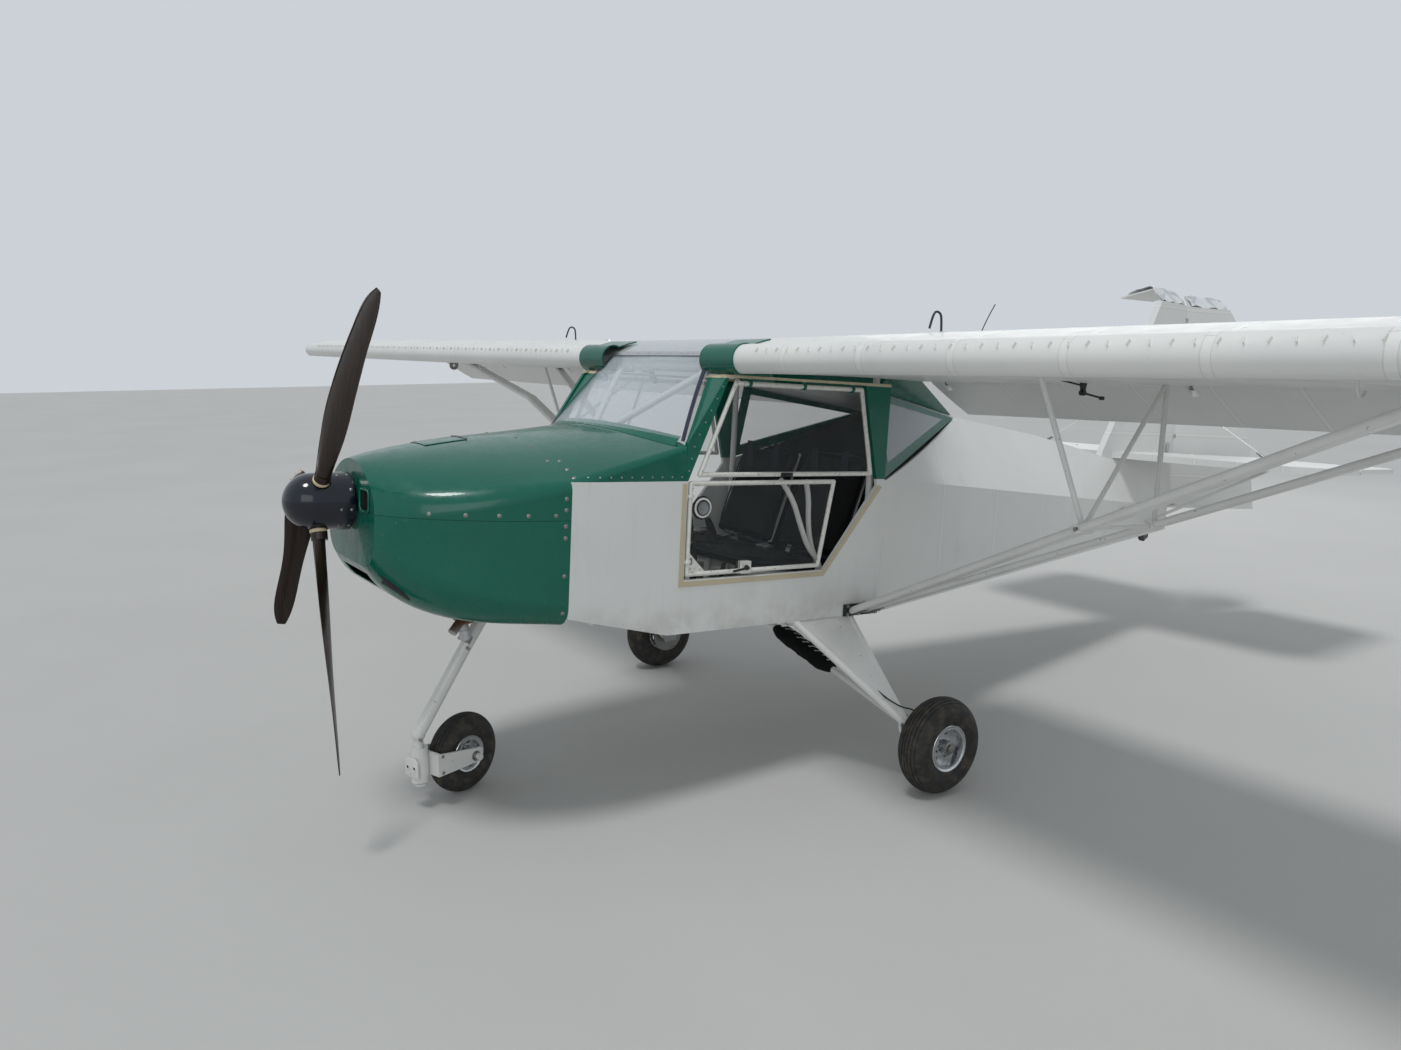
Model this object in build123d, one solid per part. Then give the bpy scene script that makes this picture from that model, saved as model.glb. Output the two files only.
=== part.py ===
"""High-wing, strut-braced two-seat ultralight aircraft on a tricycle gear.

Millimetres, +X towards the nose, +Y to port, +Z up.
The airframe is drawn level, in its own body frame, with x = 0 at the main axle.
It is then tipped nose-up about the main axle by the angle at which it parks,
so that all three tyres stand on z = 0, and shifted so that the origin lies
under the middle of the whole machine.
"""
from build123d import *
import os
from math import sin, cos, tan, radians, hypot

# Stance
PARK_ANGLE = 3.7
MAIN_TYRE_R = 172
MAIN_TYRE_W = 124
MAIN_RIM_R = 80
NOSE_TYRE_R = 142
NOSE_TYRE_W = 96
NOSE_RIM_R = 62
HALF_TRACK = 920
WHEELBASE = 1372
TYRE_SHOULDER = 44
AXLE_R = 11
RUN_GAP = 0.3
MOVE_GAP = 6

# Fuselage, body frame
FIREWALL_X = 1262
HALF_WIDTH = 500
BELT_Z = 1070
SKIN = 14
REAR_SKIN = 8
BELLY_FRONT_Z = 642
BELLY_STEP_X = 893
BELLY_Z = 556
CABIN_REAR_X = -60
TAIL_POST_X = -2762
TAIL_HALF_WIDTH = 30
TAIL_BOTTOM_Z = 716
TAIL_CREASE_Z = 850
COWL_SKIN = 5

# Cowling sections: x, half width, shoulder z, top z, bottom z, lower corner radius, shoulder radius
COWL_SECTIONS = (
    (1262, 500, 1064, 1192, 612, 70, 40),
    (1500, 452, 1030, 1162, 624, 110, 70),
    (1690, 352, 1000, 1128, 676, 130, 90),
    (1786, 240, 985, 1102, 778, 100, 90),
)
COWL_SPLIT_Z = 952
SEAM_GAP = 1.0
SHAFT_HOLE_R = 62

# Scuttle ahead of the windscreen
SCUTTLE_REAR_X = 640
SHOULDER_RISE = 0.285
TOP_RISE = 0.12
SCREEN_FOOT_X = 845
SCREEN_FOOT_Z = 1194
SCREEN_TOP_X = 648
SCREEN_TOP_Z = 1492
SCREEN_TOP_Y = 338
SCREEN_BULGE = 105
SCREEN_T = 4

# Door opening, side view
DOOR_FRONT_X = 836
DOOR_BOTTOM_Z = 738
DOOR_BOTTOM_REAR_X = 220
DOOR_TOP_Z = 1414
DOOR_TOP_FRONT_X = 690
DOOR_TOP_REAR_X = 66
DOOR_FRAME_R = 8
SHEET_T = 3

# Wing, in the panel frame: nose at the origin, x measured aft, z up
WING_NOSE_X = 699
WING_NOSE_Z = 1455
WING_INCIDENCE = 0.4
DIHEDRAL = 0.6
WING_ROOT_Y = 470
HALF_SPAN = 5100
WING_AFT = 960
WING_TOP = 106
WING_TOP_AT = 330
WING_LIP = 31
TIP_ROUND = 300
FRONT_SPAR_AFT = 309
REAR_SPAR_AFT = 925
FLAPERON_CHORD = 262
FLAPERON_T = 34
FLAPERON_DROOP = 30
FLAPERON_HINGE_AFT = 998
FLAPERON_HINGE_Z = -12
FLAPERON_ROOT_Y = 500
FLAPERON_TIP_Y = 4560
STRUT_TOP_Y = 2580
# The starboard front strut was bent: share of its length, and how far it stands off its line
BEND_SHARE = 0.66
BEND_RISE = 110
STRUT_FOOT_X = 52
STRUT_FOOT_Z = 578
STRUT_CHORD = 62
STRUT_T = 26

# Tail
FIN_T = 36
FIN_ROOT_LE_X = -2110
FIN_FOLD_Z = 1968
FIN_TOP_LE_X = -2528
RUDDER_HINGE_X = -2782
RUDDER_REST = 20
RUDDER_BOTTOM_Z = 838
RUDDER_CHORDS = ((838, 596), (1280, 505), (1800, 372))
STAB_Z = 1134
STAB_T = 32
STAB_HALF = 1035
STAB_ROOT_LE_X = -2210
STAB_TIP_LE_X = -2330
ELEV_HINGE_X = -2706
ELEV_TE_X = -3150
ELEV_INNER_Y = 74
ELEV_TUBE_R = 13

# Propeller
PROP_X = 1891
PROP_Z = 968
PROP_PHASE = 41.5
SPINNER_R = 92
SPINNER_REAR_X = 1797
SPINNER_TIP_X = 1992
SHAFT_R = 32
BLADE_ROOT_R = 25
# Blade sections: radius along the blade, chord, thickness, pitch angle, sweep
BLADE_SECTIONS = (
    (118, 46, 36, 52, 0),
    (250, 74, 22, 40, 4),
    (430, 96, 15, 28, 8),
    (640, 84, 10, 20, 2),
    (795, 60, 7, 16, -14),
    (843, 22, 4, 15, -24),
)
# The snapped blade: what is left on the hub, then its outer part that hangs by the skin
STUB_SECTIONS = (
    (118, 46, 36, 52, 0),
    (180, 62, 28, 46, 2),
    (240, 72, 18, 40, 4),
)
HANG_ROOT_R = 150
HANG_TIP = (1950, -200, 539)
# Sections of the hanging part: share of its length, chord, thickness, sweep
HANG_SECTIONS = (
    (0.0, 74, 18, 0),
    (0.35, 84, 13, 0),
    (0.75, 66, 8, 2),
    (0.94, 48, 6, 2),
    (1.0, 26, 4, 0),
)

parts = {}


def tip(shape):
    """Turn a body-frame shape to the parked attitude."""
    return shape.rotate(Axis((0, 0, MAIN_TYRE_R), (0, 1, 0)), -PARK_ANGLE)


def ground_xz(x, z):
    """Where a body-frame point stands when the aircraft is parked."""
    a = radians(PARK_ANGLE)
    dz = z - MAIN_TYRE_R
    return x * cos(a) - dz * sin(a), MAIN_TYRE_R + x * sin(a) + dz * cos(a)


def add(name, shape, body_frame=True):
    """Keep one named piece, standing as it parks."""
    parts[name] = tip(shape) if body_frame else shape


def both_sides(name, shape, body_frame=True):
    """Keep a port piece and its mirrored starboard twin."""
    add(name + "_port", shape, body_frame)
    add(name + "_starboard", mirror(shape, about=Plane.XZ), body_frame)


def pair(name, shape, body_frame=True):
    """Keep a piece and its mirrored twin as one node of two solids."""
    add(name, shape + mirror(shape, about=Plane.XZ), body_frame)


def face_of(*lines):
    """A face bounded by lines and arcs."""
    return make_face([edge for line in lines for edge in line.edges()])


def block(x0, x1, y0, y1, z0, z1):
    return Pos((x0 + x1) / 2, (y0 + y1) / 2, (z0 + z1) / 2) * Box(x1 - x0, y1 - y0, z1 - z0)


def rod(start, end, radius):
    """A round bar from start to end."""
    a = Vector(*start)
    b = Vector(*end)
    return Solid.make_cylinder(radius, (b - a).length, Plane(origin=a, z_dir=b - a))


def pipe(start, end, radius, bore):
    """A tube from start to end."""
    a = Vector(*start)
    b = Vector(*end)
    plane = Plane(origin=a, z_dir=b - a)
    outer = Solid.make_cylinder(radius, (b - a).length, plane)
    return outer - Solid.make_cylinder(bore, (b - a).length, plane)


def sheet(points, thickness_vector):
    """A flat plate: a polygon of 3-D points, thickened along a vector."""
    face = make_face(Polyline(*points, close=True))
    v = Vector(*thickness_vector)
    return extrude(face, amount=v.length, dir=v)


def quad(a, b, c, d, thickness_vector):
    """A plate with four corners that need not lie in one plane."""
    return sheet((a, b, c), thickness_vector) + sheet((a, c, d), thickness_vector)


def side_sheet(outline, y0, y1):
    """A plate seen from the side: (x, z) points, from y0 to y1."""
    return sheet([(x, y0, z) for x, z in outline], (0, y1 - y0, 0))


def plan_sheet(outline, z0, z1):
    """A plate seen from above: (x, y) points, from z0 to z1."""
    return sheet([(x, y, z0) for x, y in outline], (0, 0, z1 - z0))


def faired_bar(start, end, chord, thickness):
    """A streamlined strut: a long slot section with its chord fore and aft."""
    a = Vector(*start)
    b = Vector(*end)
    plane = Plane(origin=a, x_dir=(1, 0, 0), z_dir=b - a)
    profile = plane * SlotOverall(chord, thickness)
    return extrude(profile, amount=(b - a).length)


def lerp(a, b, t):
    return a + (b - a) * t


# Cowling and scuttle

def nose_section(x, half, shoulder, top, bottom, corner_r, shoulder_r, inset=0.0):
    """One closed section of the nose, made of lines and arcs."""
    w = half - inset
    zs = shoulder
    zt = top - inset
    zb = bottom + inset
    with_arc = ThreePointArc((x, w, zs), (x, 0, zt), (x, -w, zs))
    rest = Polyline((x, -w, zs), (x, -w, zb), (x, w, zb), (x, w, zs))
    face = face_of(with_arc, rest)
    low = face.vertices().filter_by(lambda v: abs(v.Z - zb) < 1)
    face = fillet(low, corner_r - inset)
    high = face.vertices().filter_by(lambda v: abs(v.Z - zs) < 1)
    return fillet(high, shoulder_r - inset)


def cowl_body(inset, nose_stop):
    faces = [nose_section(*row, inset=inset) for row in COWL_SECTIONS]
    solid = loft(faces)
    if nose_stop:
        solid = solid - block(nose_stop, 2200, -700, 700, 300, 1500)
    return solid


cowl_front_x = COWL_SECTIONS[-1][0]
cowl_shell = cowl_body(0, None) - cowl_body(COWL_SKIN, cowl_front_x - COWL_SKIN)
cowl_shell -= rod((1600, 0, PROP_Z), (1900, 0, PROP_Z), SHAFT_HOLE_R)

# Cooling inlets beside the spinner, the mouth under it and the outlet under the belly
for side in (1, -1):
    cowl_shell -= Pos(cowl_front_x, side * 150, 985) * Box(60, 90, 70)
cowl_shell -= Pos(1745, 0, 735) * Rot(0, 40, 0) * Box(130, 250, 60)
OUTLET = (1292, 1530, 170)
LEG_NOTCH = 48
cowl_shell -= block(OUTLET[0], OUTLET[1], -OUTLET[2], OUTLET[2], 560, 700)
cowl_shell -= block(FIREWALL_X - 1, OUTLET[0] + 10, -LEG_NOTCH, LEG_NOTCH, 560, 700)

cut_low = block(1100, 2200, -700, 700, 300, COWL_SPLIT_Z + SEAM_GAP / 2)
cut_high = block(1100, 2200, -700, 700, COWL_SPLIT_Z - SEAM_GAP / 2, 1500)
add("cowl_upper", cowl_shell - cut_low)
add("cowl_lower", cowl_shell - cut_high)


def scuttle_body(inset):
    """The green skin between the cowling and the windscreen."""
    first = COWL_SECTIONS[0]
    length = FIREWALL_X - SCUTTLE_REAR_X
    shoulder = first[2] + SHOULDER_RISE * length
    top = first[3] + TOP_RISE * length
    rear = (SCUTTLE_REAR_X, first[1], shoulder, top, BELT_Z - 90, 5 + inset, 18 + inset)
    front = (FIREWALL_X, first[1], first[2], first[3], BELT_Z - 90, 5 + inset, first[6])
    return loft([nose_section(*front, inset=inset), nose_section(*rear, inset=inset)])


scuttle = scuttle_body(0) - scuttle_body(SKIN)
scuttle -= block(0, 2200, -700, 700, 300, BELT_Z)
screen_cutter = side_sheet(
    ((SCREEN_FOOT_X, SCREEN_FOOT_Z), (SCREEN_FOOT_X + SCREEN_BULGE, SCREEN_FOOT_Z + 34),
     (SCREEN_FOOT_X + SCREEN_BULGE, 1500), (0, 1500), (0, 300), (SCREEN_FOOT_X, 300)), -700, 700)
scuttle -= screen_cutter
add("scuttle", scuttle)

firewall = nose_section(*COWL_SECTIONS[0], inset=SKIN + RUN_GAP)
add("firewall", extrude(firewall, amount=10, dir=(-1, 0, 0)))

# Cabin sides, belly and door openings
DOOR_OPENING = (
    (DOOR_FRONT_X, DOOR_BOTTOM_Z),
    (DOOR_FRONT_X, BELT_Z),
    (DOOR_TOP_FRONT_X, DOOR_TOP_Z),
    (DOOR_TOP_REAR_X, DOOR_TOP_Z),
    (CABIN_REAR_X + 38, BELT_Z - 24),
    (DOOR_BOTTOM_REAR_X, DOOR_BOTTOM_Z),
)


def belly_z(x):
    """Height of the lower edge of the fuselage side at x."""
    if x > BELLY_STEP_X:
        t = (x - BELLY_STEP_X) / (FIREWALL_X - BELLY_STEP_X)
        return lerp(BELLY_Z, BELLY_FRONT_Z, t)
    if x > CABIN_REAR_X:
        return BELLY_Z
    t = (CABIN_REAR_X - x) / (CABIN_REAR_X - TAIL_POST_X)
    return lerp(BELLY_Z, TAIL_BOTTOM_Z, t)


side_outline = (
    (FIREWALL_X, belly_z(FIREWALL_X)),
    (BELLY_STEP_X, BELLY_Z),
    (CABIN_REAR_X, BELLY_Z),
    (CABIN_REAR_X, BELT_Z),
    (FIREWALL_X, BELT_Z),
)
side_wall = side_sheet(side_outline, HALF_WIDTH - SKIN, HALF_WIDTH)
side_wall -= side_sheet(DOOR_OPENING, HALF_WIDTH - 60, HALF_WIDTH + 60)

belly_outline = (
    (FIREWALL_X - 10, belly_z(FIREWALL_X - 10)),
    (BELLY_STEP_X, BELLY_Z),
    (CABIN_REAR_X, BELLY_Z),
    (CABIN_REAR_X, BELLY_Z + SKIN),
    (BELLY_STEP_X, BELLY_Z + SKIN),
    (FIREWALL_X - 10, belly_z(FIREWALL_X - 10) + SKIN),
)
add("belly", side_sheet(belly_outline, -(HALF_WIDTH - SKIN), HALF_WIDTH - SKIN))

# Posts beside the screen and the doors, with the rails over the doors
POST_T = 16
RAIL_BOTTOM = DOOR_TOP_Z + 1
RAIL_TOP = DOOR_TOP_Z + 10
screen_post = side_sheet(
    ((DOOR_FRONT_X, BELT_Z), (DOOR_TOP_FRONT_X, DOOR_TOP_Z), (DOOR_TOP_FRONT_X, RAIL_BOTTOM),
     (DOOR_TOP_FRONT_X + 14, RAIL_BOTTOM), (SCREEN_FOOT_X - 0.5, SCREEN_FOOT_Z), (SCREEN_FOOT_X - 0.5, BELT_Z)),
    HALF_WIDTH - POST_T, HALF_WIDTH)
screen_side = sheet(
    ((SCREEN_FOOT_X - 3, HALF_WIDTH - 16, SCREEN_FOOT_Z), (SCREEN_TOP_X - 6, SCREEN_TOP_Y + 2, SCREEN_TOP_Z - 6),
     (DOOR_TOP_FRONT_X + 6, HALF_WIDTH - 18, DOOR_TOP_Z)), (-6, -5, 0))
screen_side -= block(0, 900, 0, 600, RAIL_TOP - 1, 1600)
rear_post = side_sheet(
    ((CABIN_REAR_X, BELT_Z), (CABIN_REAR_X, RAIL_BOTTOM), (DOOR_TOP_REAR_X, RAIL_BOTTOM),
     (DOOR_TOP_REAR_X, DOOR_TOP_Z), (CABIN_REAR_X + 44, BELT_Z)),
    HALF_WIDTH - POST_T, HALF_WIDTH)
rail = block(CABIN_REAR_X, DOOR_TOP_FRONT_X + 14, HALF_WIDTH - 34, HALF_WIDTH, RAIL_BOTTOM, RAIL_TOP)
posts = screen_post + rear_post + rail + screen_side

# Rear fuselage sections: x, crease half width, crease z, top half width, top z
REAR_SECTIONS = (
    (CABIN_REAR_X, 500, BELT_Z, 412, 1400),
    (-760, 378, 1013, 218, 1302),
    (-1450, 256, 955, 90, 1232),
    (-1980, 166, 912, 36, 1150),
    (-2170, 132, 896, 26, 1112),
    (TAIL_POST_X, TAIL_HALF_WIDTH, TAIL_CREASE_Z, 22, 1100),
)


def rear_section(x, crease_y, crease_z, top_y, top_z, inset=0.0):
    low = belly_z(x) + inset
    half = crease_y - inset
    points = (
        (x, -half, low), (x, half, low), (x, half, crease_z),
        (x, top_y - inset, top_z - inset), (x, -(top_y - inset), top_z - inset), (x, -half, crease_z),
    )
    return make_face(Polyline(*points, close=True))


def rear_body(rows, inset):
    solid = None
    for first, second in zip(rows, rows[1:]):
        bay = loft([rear_section(*first, inset=inset), rear_section(*second, inset=inset)], ruled=True)
        solid = bay if solid is None else solid + bay
    return solid


QUARTER_END_X = -720
rear = rear_body(REAR_SECTIONS, 0)
rear -= rear_body(REAR_SECTIONS[:4], REAR_SKIN)
window_cut = side_sheet(
    ((CABIN_REAR_X + 1, BELT_Z - 4), (CABIN_REAR_X + 1, 1500), (QUARTER_END_X, 1500), (QUARTER_END_X, 1300),
     (CABIN_REAR_X - 12, BELT_Z - 4)), 0, 700)
window_cut &= plan_sheet(((CABIN_REAR_X + 1, 404), (QUARTER_END_X, 224), (QUARTER_END_X, 700),
                          (CABIN_REAR_X + 1, 700)), 900, 1500)
rear -= window_cut + mirror(window_cut, about=Plane.XZ)
ELEV_HOLE_R = ELEV_TUBE_R + MOVE_GAP
rear -= rod((ELEV_HINGE_X, -200, STAB_Z), (ELEV_HINGE_X, 200, STAB_Z), ELEV_HOLE_R)
add("rear_fuselage", rear)


def facet_point(x, z):
    """A point on the leaning side above the crease, between the first two rear sections."""
    a = REAR_SECTIONS[0]
    b = REAR_SECTIONS[1]
    t = (a[0] - x) / (a[0] - b[0])
    cy, cz, ty, tz = (lerp(a[i], b[i], t) for i in (1, 2, 3, 4))
    s = (z - cz) / (tz - cz)
    return (x, lerp(cy, ty, s), z)


QUARTER_OUTER = ((CABIN_REAR_X, BELT_Z + 2), (CABIN_REAR_X, 1398), (QUARTER_END_X + 15, 1301))
QUARTER_INNER = ((CABIN_REAR_X - 34, 1130), (CABIN_REAR_X - 34, 1362), (-590, 1296))
quarter_cut = sheet([facet_point(x, z) for x, z in QUARTER_INNER], (0, -120, -45))
quarter_cut += sheet([facet_point(x, z) for x, z in QUARTER_INNER], (0, 120, 45))
pair("quarter_frames", sheet([facet_point(x, z) for x, z in QUARTER_OUTER], (0, -8, -3)) - quarter_cut)
pair("quarter_windows", sheet([facet_point(x, z) for x, z in QUARTER_INNER], (0, -4, -1.5)))

# Sloping deck that closes the cabin roof down to the rear fuselage
DECK_X = -243
DECK_END_X = -680
deck_front = make_face(Polyline((DECK_X, -361, 1376), (DECK_X, 361, 1376), (DECK_X, 458, 1459),
                                (DECK_X, -458, 1459), close=True))
deck_back = make_face(Polyline((DECK_END_X, -238, 1312.5), (DECK_END_X, 238, 1312.5), (DECK_END_X, 241, 1318),
                               (DECK_END_X, -241, 1318), close=True))
deck = loft([deck_front, deck_back], ruled=True) - rear_body(REAR_SECTIONS[:2], 0)
for side in (1, -1):
    deck += quad((CABIN_REAR_X, side * 416, 1401), (CABIN_REAR_X, side * 466, 1440),
                 (DECK_X, side * 457, 1453), (DECK_X, side * 363, 1377), (0, side * -8, 6))
add("deck_fairing", deck)

# Windscreen: one bent sheet between the scuttle and the roof
foot = ThreePointArc((SCREEN_FOOT_X - 1, HALF_WIDTH - 14, SCREEN_FOOT_Z + 1),
                     (SCREEN_FOOT_X + SCREEN_BULGE - 3, 0, SCREEN_FOOT_Z + 36),
                     (SCREEN_FOOT_X - 1, -HALF_WIDTH + 14, SCREEN_FOOT_Z + 1))
head = Line((SCREEN_TOP_X, SCREEN_TOP_Y, SCREEN_TOP_Z), (SCREEN_TOP_X, -SCREEN_TOP_Y, SCREEN_TOP_Z))
screen_face = Face.make_surface_from_curves(foot.edge(), head.edge())
windscreen = Solid.thicken(screen_face, SCREEN_T, normal_override=(1, 0, 1))

# Wing panels, drawn in the panel frame: nose at the origin and x running forward


def wing_profile(y, scale=1.0, grow=0.0):
    """Wing section ahead of the flaperon: arcs and lines."""
    points = (
        (30, -WING_LIP - grow), (-grow, 0), (70, 62 + grow), (170, 92 + grow), (WING_TOP_AT, WING_TOP + grow),
        (640, 72 + grow), (WING_AFT, 14 + grow), (WING_AFT, -10 - grow), (480, -14 - grow),
    )
    p = [(-x * scale, y, z * scale) for x, z in points]
    return face_of(
        ThreePointArc(p[0], p[1], p[2]),
        ThreePointArc(p[2], p[3], p[4]),
        ThreePointArc(p[4], p[5], p[6]),
        Line(p[6], p[7]),
        ThreePointArc(p[7], p[8], p[0]),
    )


def wing_bar(y0, y1, grow=0.0):
    return extrude(wing_profile(y0, grow=grow), amount=y1 - y0, dir=(0, 1, 0))


def wing_place(shape):
    """Set a panel-frame shape on the airframe."""
    turned = shape.rotate(Axis((0, 0, 0), (0, 1, 0)), -WING_INCIDENCE)
    turned = turned.rotate(Axis((0, 0, 0), (1, 0, 0)), DIHEDRAL)
    return turned.translate((WING_NOSE_X, 0, WING_NOSE_Z))


def wing_point(aft, y, z):
    """Body-frame place of a panel-frame point."""
    a = radians(-WING_INCIDENCE)
    x1 = -aft * cos(a) + z * sin(a)
    z1 = aft * sin(a) + z * cos(a)
    d = radians(DIHEDRAL)
    return (WING_NOSE_X + x1, y * cos(d) - z1 * sin(d), WING_NOSE_Z + y * sin(d) + z1 * cos(d))


# Wing tip sections: share of the rounded length, size of the section
TIP_SECTIONS = ((0.0, 1.0), (0.62, 0.9), (1.0, 0.66))
tip_faces = []
for share, size in TIP_SECTIONS:
    section = wing_profile(HALF_SPAN - TIP_ROUND + TIP_ROUND * share, scale=size)
    tip_faces.append(section.translate((-WING_AFT * 0.42 * (1 - size), 0, 6 * (1 - size))))
both_sides("wing", wing_place(wing_bar(WING_ROOT_Y, HALF_SPAN - TIP_ROUND) + loft(tip_faces)))
wing_clear = wing_place(wing_bar(WING_ROOT_Y, HALF_SPAN, grow=RUN_GAP))

# Green caps that close the gap between wing nose and windscreen
CAP_INNER_Y = 340
CAP_OUTER_Y = 530
CAP_AFT = 150
cap = wing_bar(CAP_INNER_Y, CAP_OUTER_Y, grow=5) - wing_bar(CAP_INNER_Y - 20, CAP_OUTER_Y + 20, grow=RUN_GAP)
cap -= block(-1300, -CAP_AFT, 200, 800, -200, 200)
pair("wing_root_fairings", wing_place(cap) - block(0, 900, 0, 800, 1300, RAIL_TOP + 1.5))
screen_trim = wing_place(wing_bar(CAP_INNER_Y - 1, CAP_OUTER_Y, grow=5 + RUN_GAP))
add("windscreen", windscreen - screen_trim - mirror(screen_trim, about=Plane.XZ))

# Roof: clear sheet that carries the wing's upper line across the cabin
ROOF_LINE = ((52, 36), (170, 92), (WING_TOP_AT, WING_TOP), (640, 72), (940, 16))
ROOF_T = 4
outer = [(WING_NOSE_X - x, 0, WING_NOSE_Z + z) for x, z in ROOF_LINE]
inner = [(x, y, z - ROOF_T) for x, y, z in outer]
roof_face = face_of(
    ThreePointArc(outer[0], outer[1], outer[2]),
    ThreePointArc(outer[2], outer[3], outer[4]),
    Line(outer[4], inner[4]),
    ThreePointArc(inner[4], inner[3], inner[2]),
    ThreePointArc(inner[2], inner[1], inner[0]),
    Line(inner[0], outer[0]),
)
add("roof_sheet", extrude(roof_face, amount=WING_ROOT_Y - 1.9, dir=(0, 1, 0), both=True))

# Cabin frame of tubes
FRAME_R = 13
spar_front = WING_NOSE_X - FRONT_SPAR_AFT
SPAR_FRONT_Z = WING_NOSE_Z + 30
TOP_Y = WING_ROOT_Y - FRAME_R - 2.2
HEAD = (622, 318, 1452)
APEX = (946, 0, 1168)
HOOP_X = -40
HOOP_Y = 440
HOOP_TOP_Z = 1470
FLOOR_Z = BELLY_Z + SKIN
frame_rods = [
    ((spar_front, -TOP_Y, SPAR_FRONT_Z), (spar_front, TOP_Y, SPAR_FRONT_Z)),
    ((HOOP_X, -TOP_Y, HOOP_TOP_Z), (HOOP_X, TOP_Y, HOOP_TOP_Z)),
    ((HEAD[0], -HEAD[1], HEAD[2]), HEAD),
    (APEX, (APEX[0], 0, 1000)),
]
for side in (1, -1):
    head_end = (HEAD[0], side * HEAD[1], HEAD[2])
    frame_rods += [
        (head_end, APEX),
        (head_end, (spar_front, side * HOOP_Y, SPAR_FRONT_Z)),
        ((spar_front, side * HOOP_Y, SPAR_FRONT_Z), (HOOP_X, side * HOOP_Y, HOOP_TOP_Z)),
        ((HOOP_X, side * HOOP_Y, HOOP_TOP_Z), (HOOP_X, side * HOOP_Y, FLOOR_Z + FRAME_R)),
    ]
frame = None
for start, end in frame_rods:
    bar = rod(start, end, FRAME_R) + Pos(*start) * Sphere(FRAME_R) + Pos(*end) * Sphere(FRAME_R)
    frame = bar if frame is None else frame + bar
for side in (1, -1):
    frame += rod((HOOP_X, side * HOOP_Y, FLOOR_Z), (HOOP_X, side * HOOP_Y, FLOOR_Z + FRAME_R), FRAME_R + 4)
add("cabin_frame", frame)

# Instrument panel, seats and sticks
PANEL_X = 905
panel = side_sheet(((PANEL_X, 1072), (PANEL_X + 14, 1072), (PANEL_X + 21, 1142), (PANEL_X + 7, 1142)),
                   -(HALF_WIDTH - SKIN), HALF_WIDTH - SKIN)
panel += side_sheet(((PANEL_X - 14, 930), (PANEL_X, 930), (PANEL_X + 14, 1072), (PANEL_X, 1072)), -290, 290)
add("instrument_panel", panel)

SEAT_W = 400
SEAT_Y = 214
SEAT_T = 45
STAND_R = 14
seat = side_sheet(((520, 742), (40, 690), (36, 690 + SEAT_T), (515, 742 + SEAT_T)),
                  SEAT_Y - SEAT_W / 2, SEAT_Y + SEAT_W / 2)
seat += side_sheet(((46, 720), (-112, 1150), (-112 + SEAT_T, 1165), (40 + SEAT_T + 5, 726)),
                   SEAT_Y - SEAT_W / 2, SEAT_Y + SEAT_W / 2)
for x, z in ((430, 745), (120, 712)):
    for y in (SEAT_Y - 150, SEAT_Y + 150):
        seat += rod((x, y, FLOOR_Z), (x, y, z), STAND_R)
pair("seats", seat)
stick = rod((600, SEAT_Y, FLOOR_Z), (600, SEAT_Y, 760), 12) + Pos(600, SEAT_Y, 760) * Sphere(12)
stick += rod((600, SEAT_Y, 760), (640, SEAT_Y, 930), 12)
pair("sticks", stick)

# Engine, mount and exhaust
ENGINE = (1352, 1660, 190, 760, 1052)
GEARBOX_R = 54
SHAFT_END_X = 1706
engine = block(ENGINE[0], ENGINE[1], -ENGINE[2], ENGINE[2], ENGINE[3], ENGINE[4])
engine += rod((ENGINE[1] - 5, 0, PROP_Z), (1766, 0, PROP_Z), GEARBOX_R)
engine -= rod((SHAFT_END_X - 8, 0, PROP_Z), (1800, 0, PROP_Z), SHAFT_R + RUN_GAP)
for y in (-150, 150):
    for z, spread in ((800, -60), (1010, 60)):
        engine += rod((FIREWALL_X - 12, y * 1.5, z + spread), (ENGINE[0] + 10, y, z), 12)
engine -= block(1000, FIREWALL_X, -600, 600, 600, 1200)
add("engine", engine)

exhaust = rod((1440, -150, 610), (1440, 130, 610), 44)
exhaust += rod((1440, 60, 610), (1415, 60, 500), 17)
exhaust += rod((1470, -20, 620), (1500, -20, ENGINE[3] + 20), 20)
exhaust += rod((1440, 120, 600), (1500, 150, 545), 15)
add("exhaust", exhaust - block(ENGINE[0], ENGINE[1], -ENGINE[2], ENGINE[2], ENGINE[3], ENGINE[4]))

# Nose leg: a bent tube from the firewall to the castor pivot
TRAIL = 190
CASTOR_REST = 19
PIVOT_X = WHEELBASE + TRAIL * cos(radians(CASTOR_REST))
LEG_R = 22
PIVOT_R = 16
PIVOT_LOW = 92
PIVOT_TOP = 238
FORK_HEAD_R = 30
leg_top = ground_xz(1272, 650)
leg_kink = ground_xz(1392, 452)
leg_points = ((leg_top[0], 0, leg_top[1]), (leg_kink[0], 0, leg_kink[1]), (PIVOT_X, 0, PIVOT_TOP + 26))
leg = rod(leg_points[0], leg_points[1], LEG_R) + Pos(*leg_points[1]) * Sphere(LEG_R)
leg += rod(leg_points[1], leg_points[2], LEG_R) + Pos(*leg_points[2]) * Sphere(LEG_R + 2)
leg += rod((PIVOT_X, 0, PIVOT_LOW), (PIVOT_X, 0, PIVOT_TOP + 26), PIVOT_R)
leg += rod((PIVOT_X, 0, PIVOT_LOW - 8), (PIVOT_X, 0, PIVOT_LOW), PIVOT_R + 6)
leg += tip(block(FIREWALL_X, FIREWALL_X + 44, -44, 44, 624, 700))
add("nose_leg", leg - tip(block(1000, FIREWALL_X, -600, 600, 500, 1200)), body_frame=False)

# Castoring fork and nose wheel, on the ground frame


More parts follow.
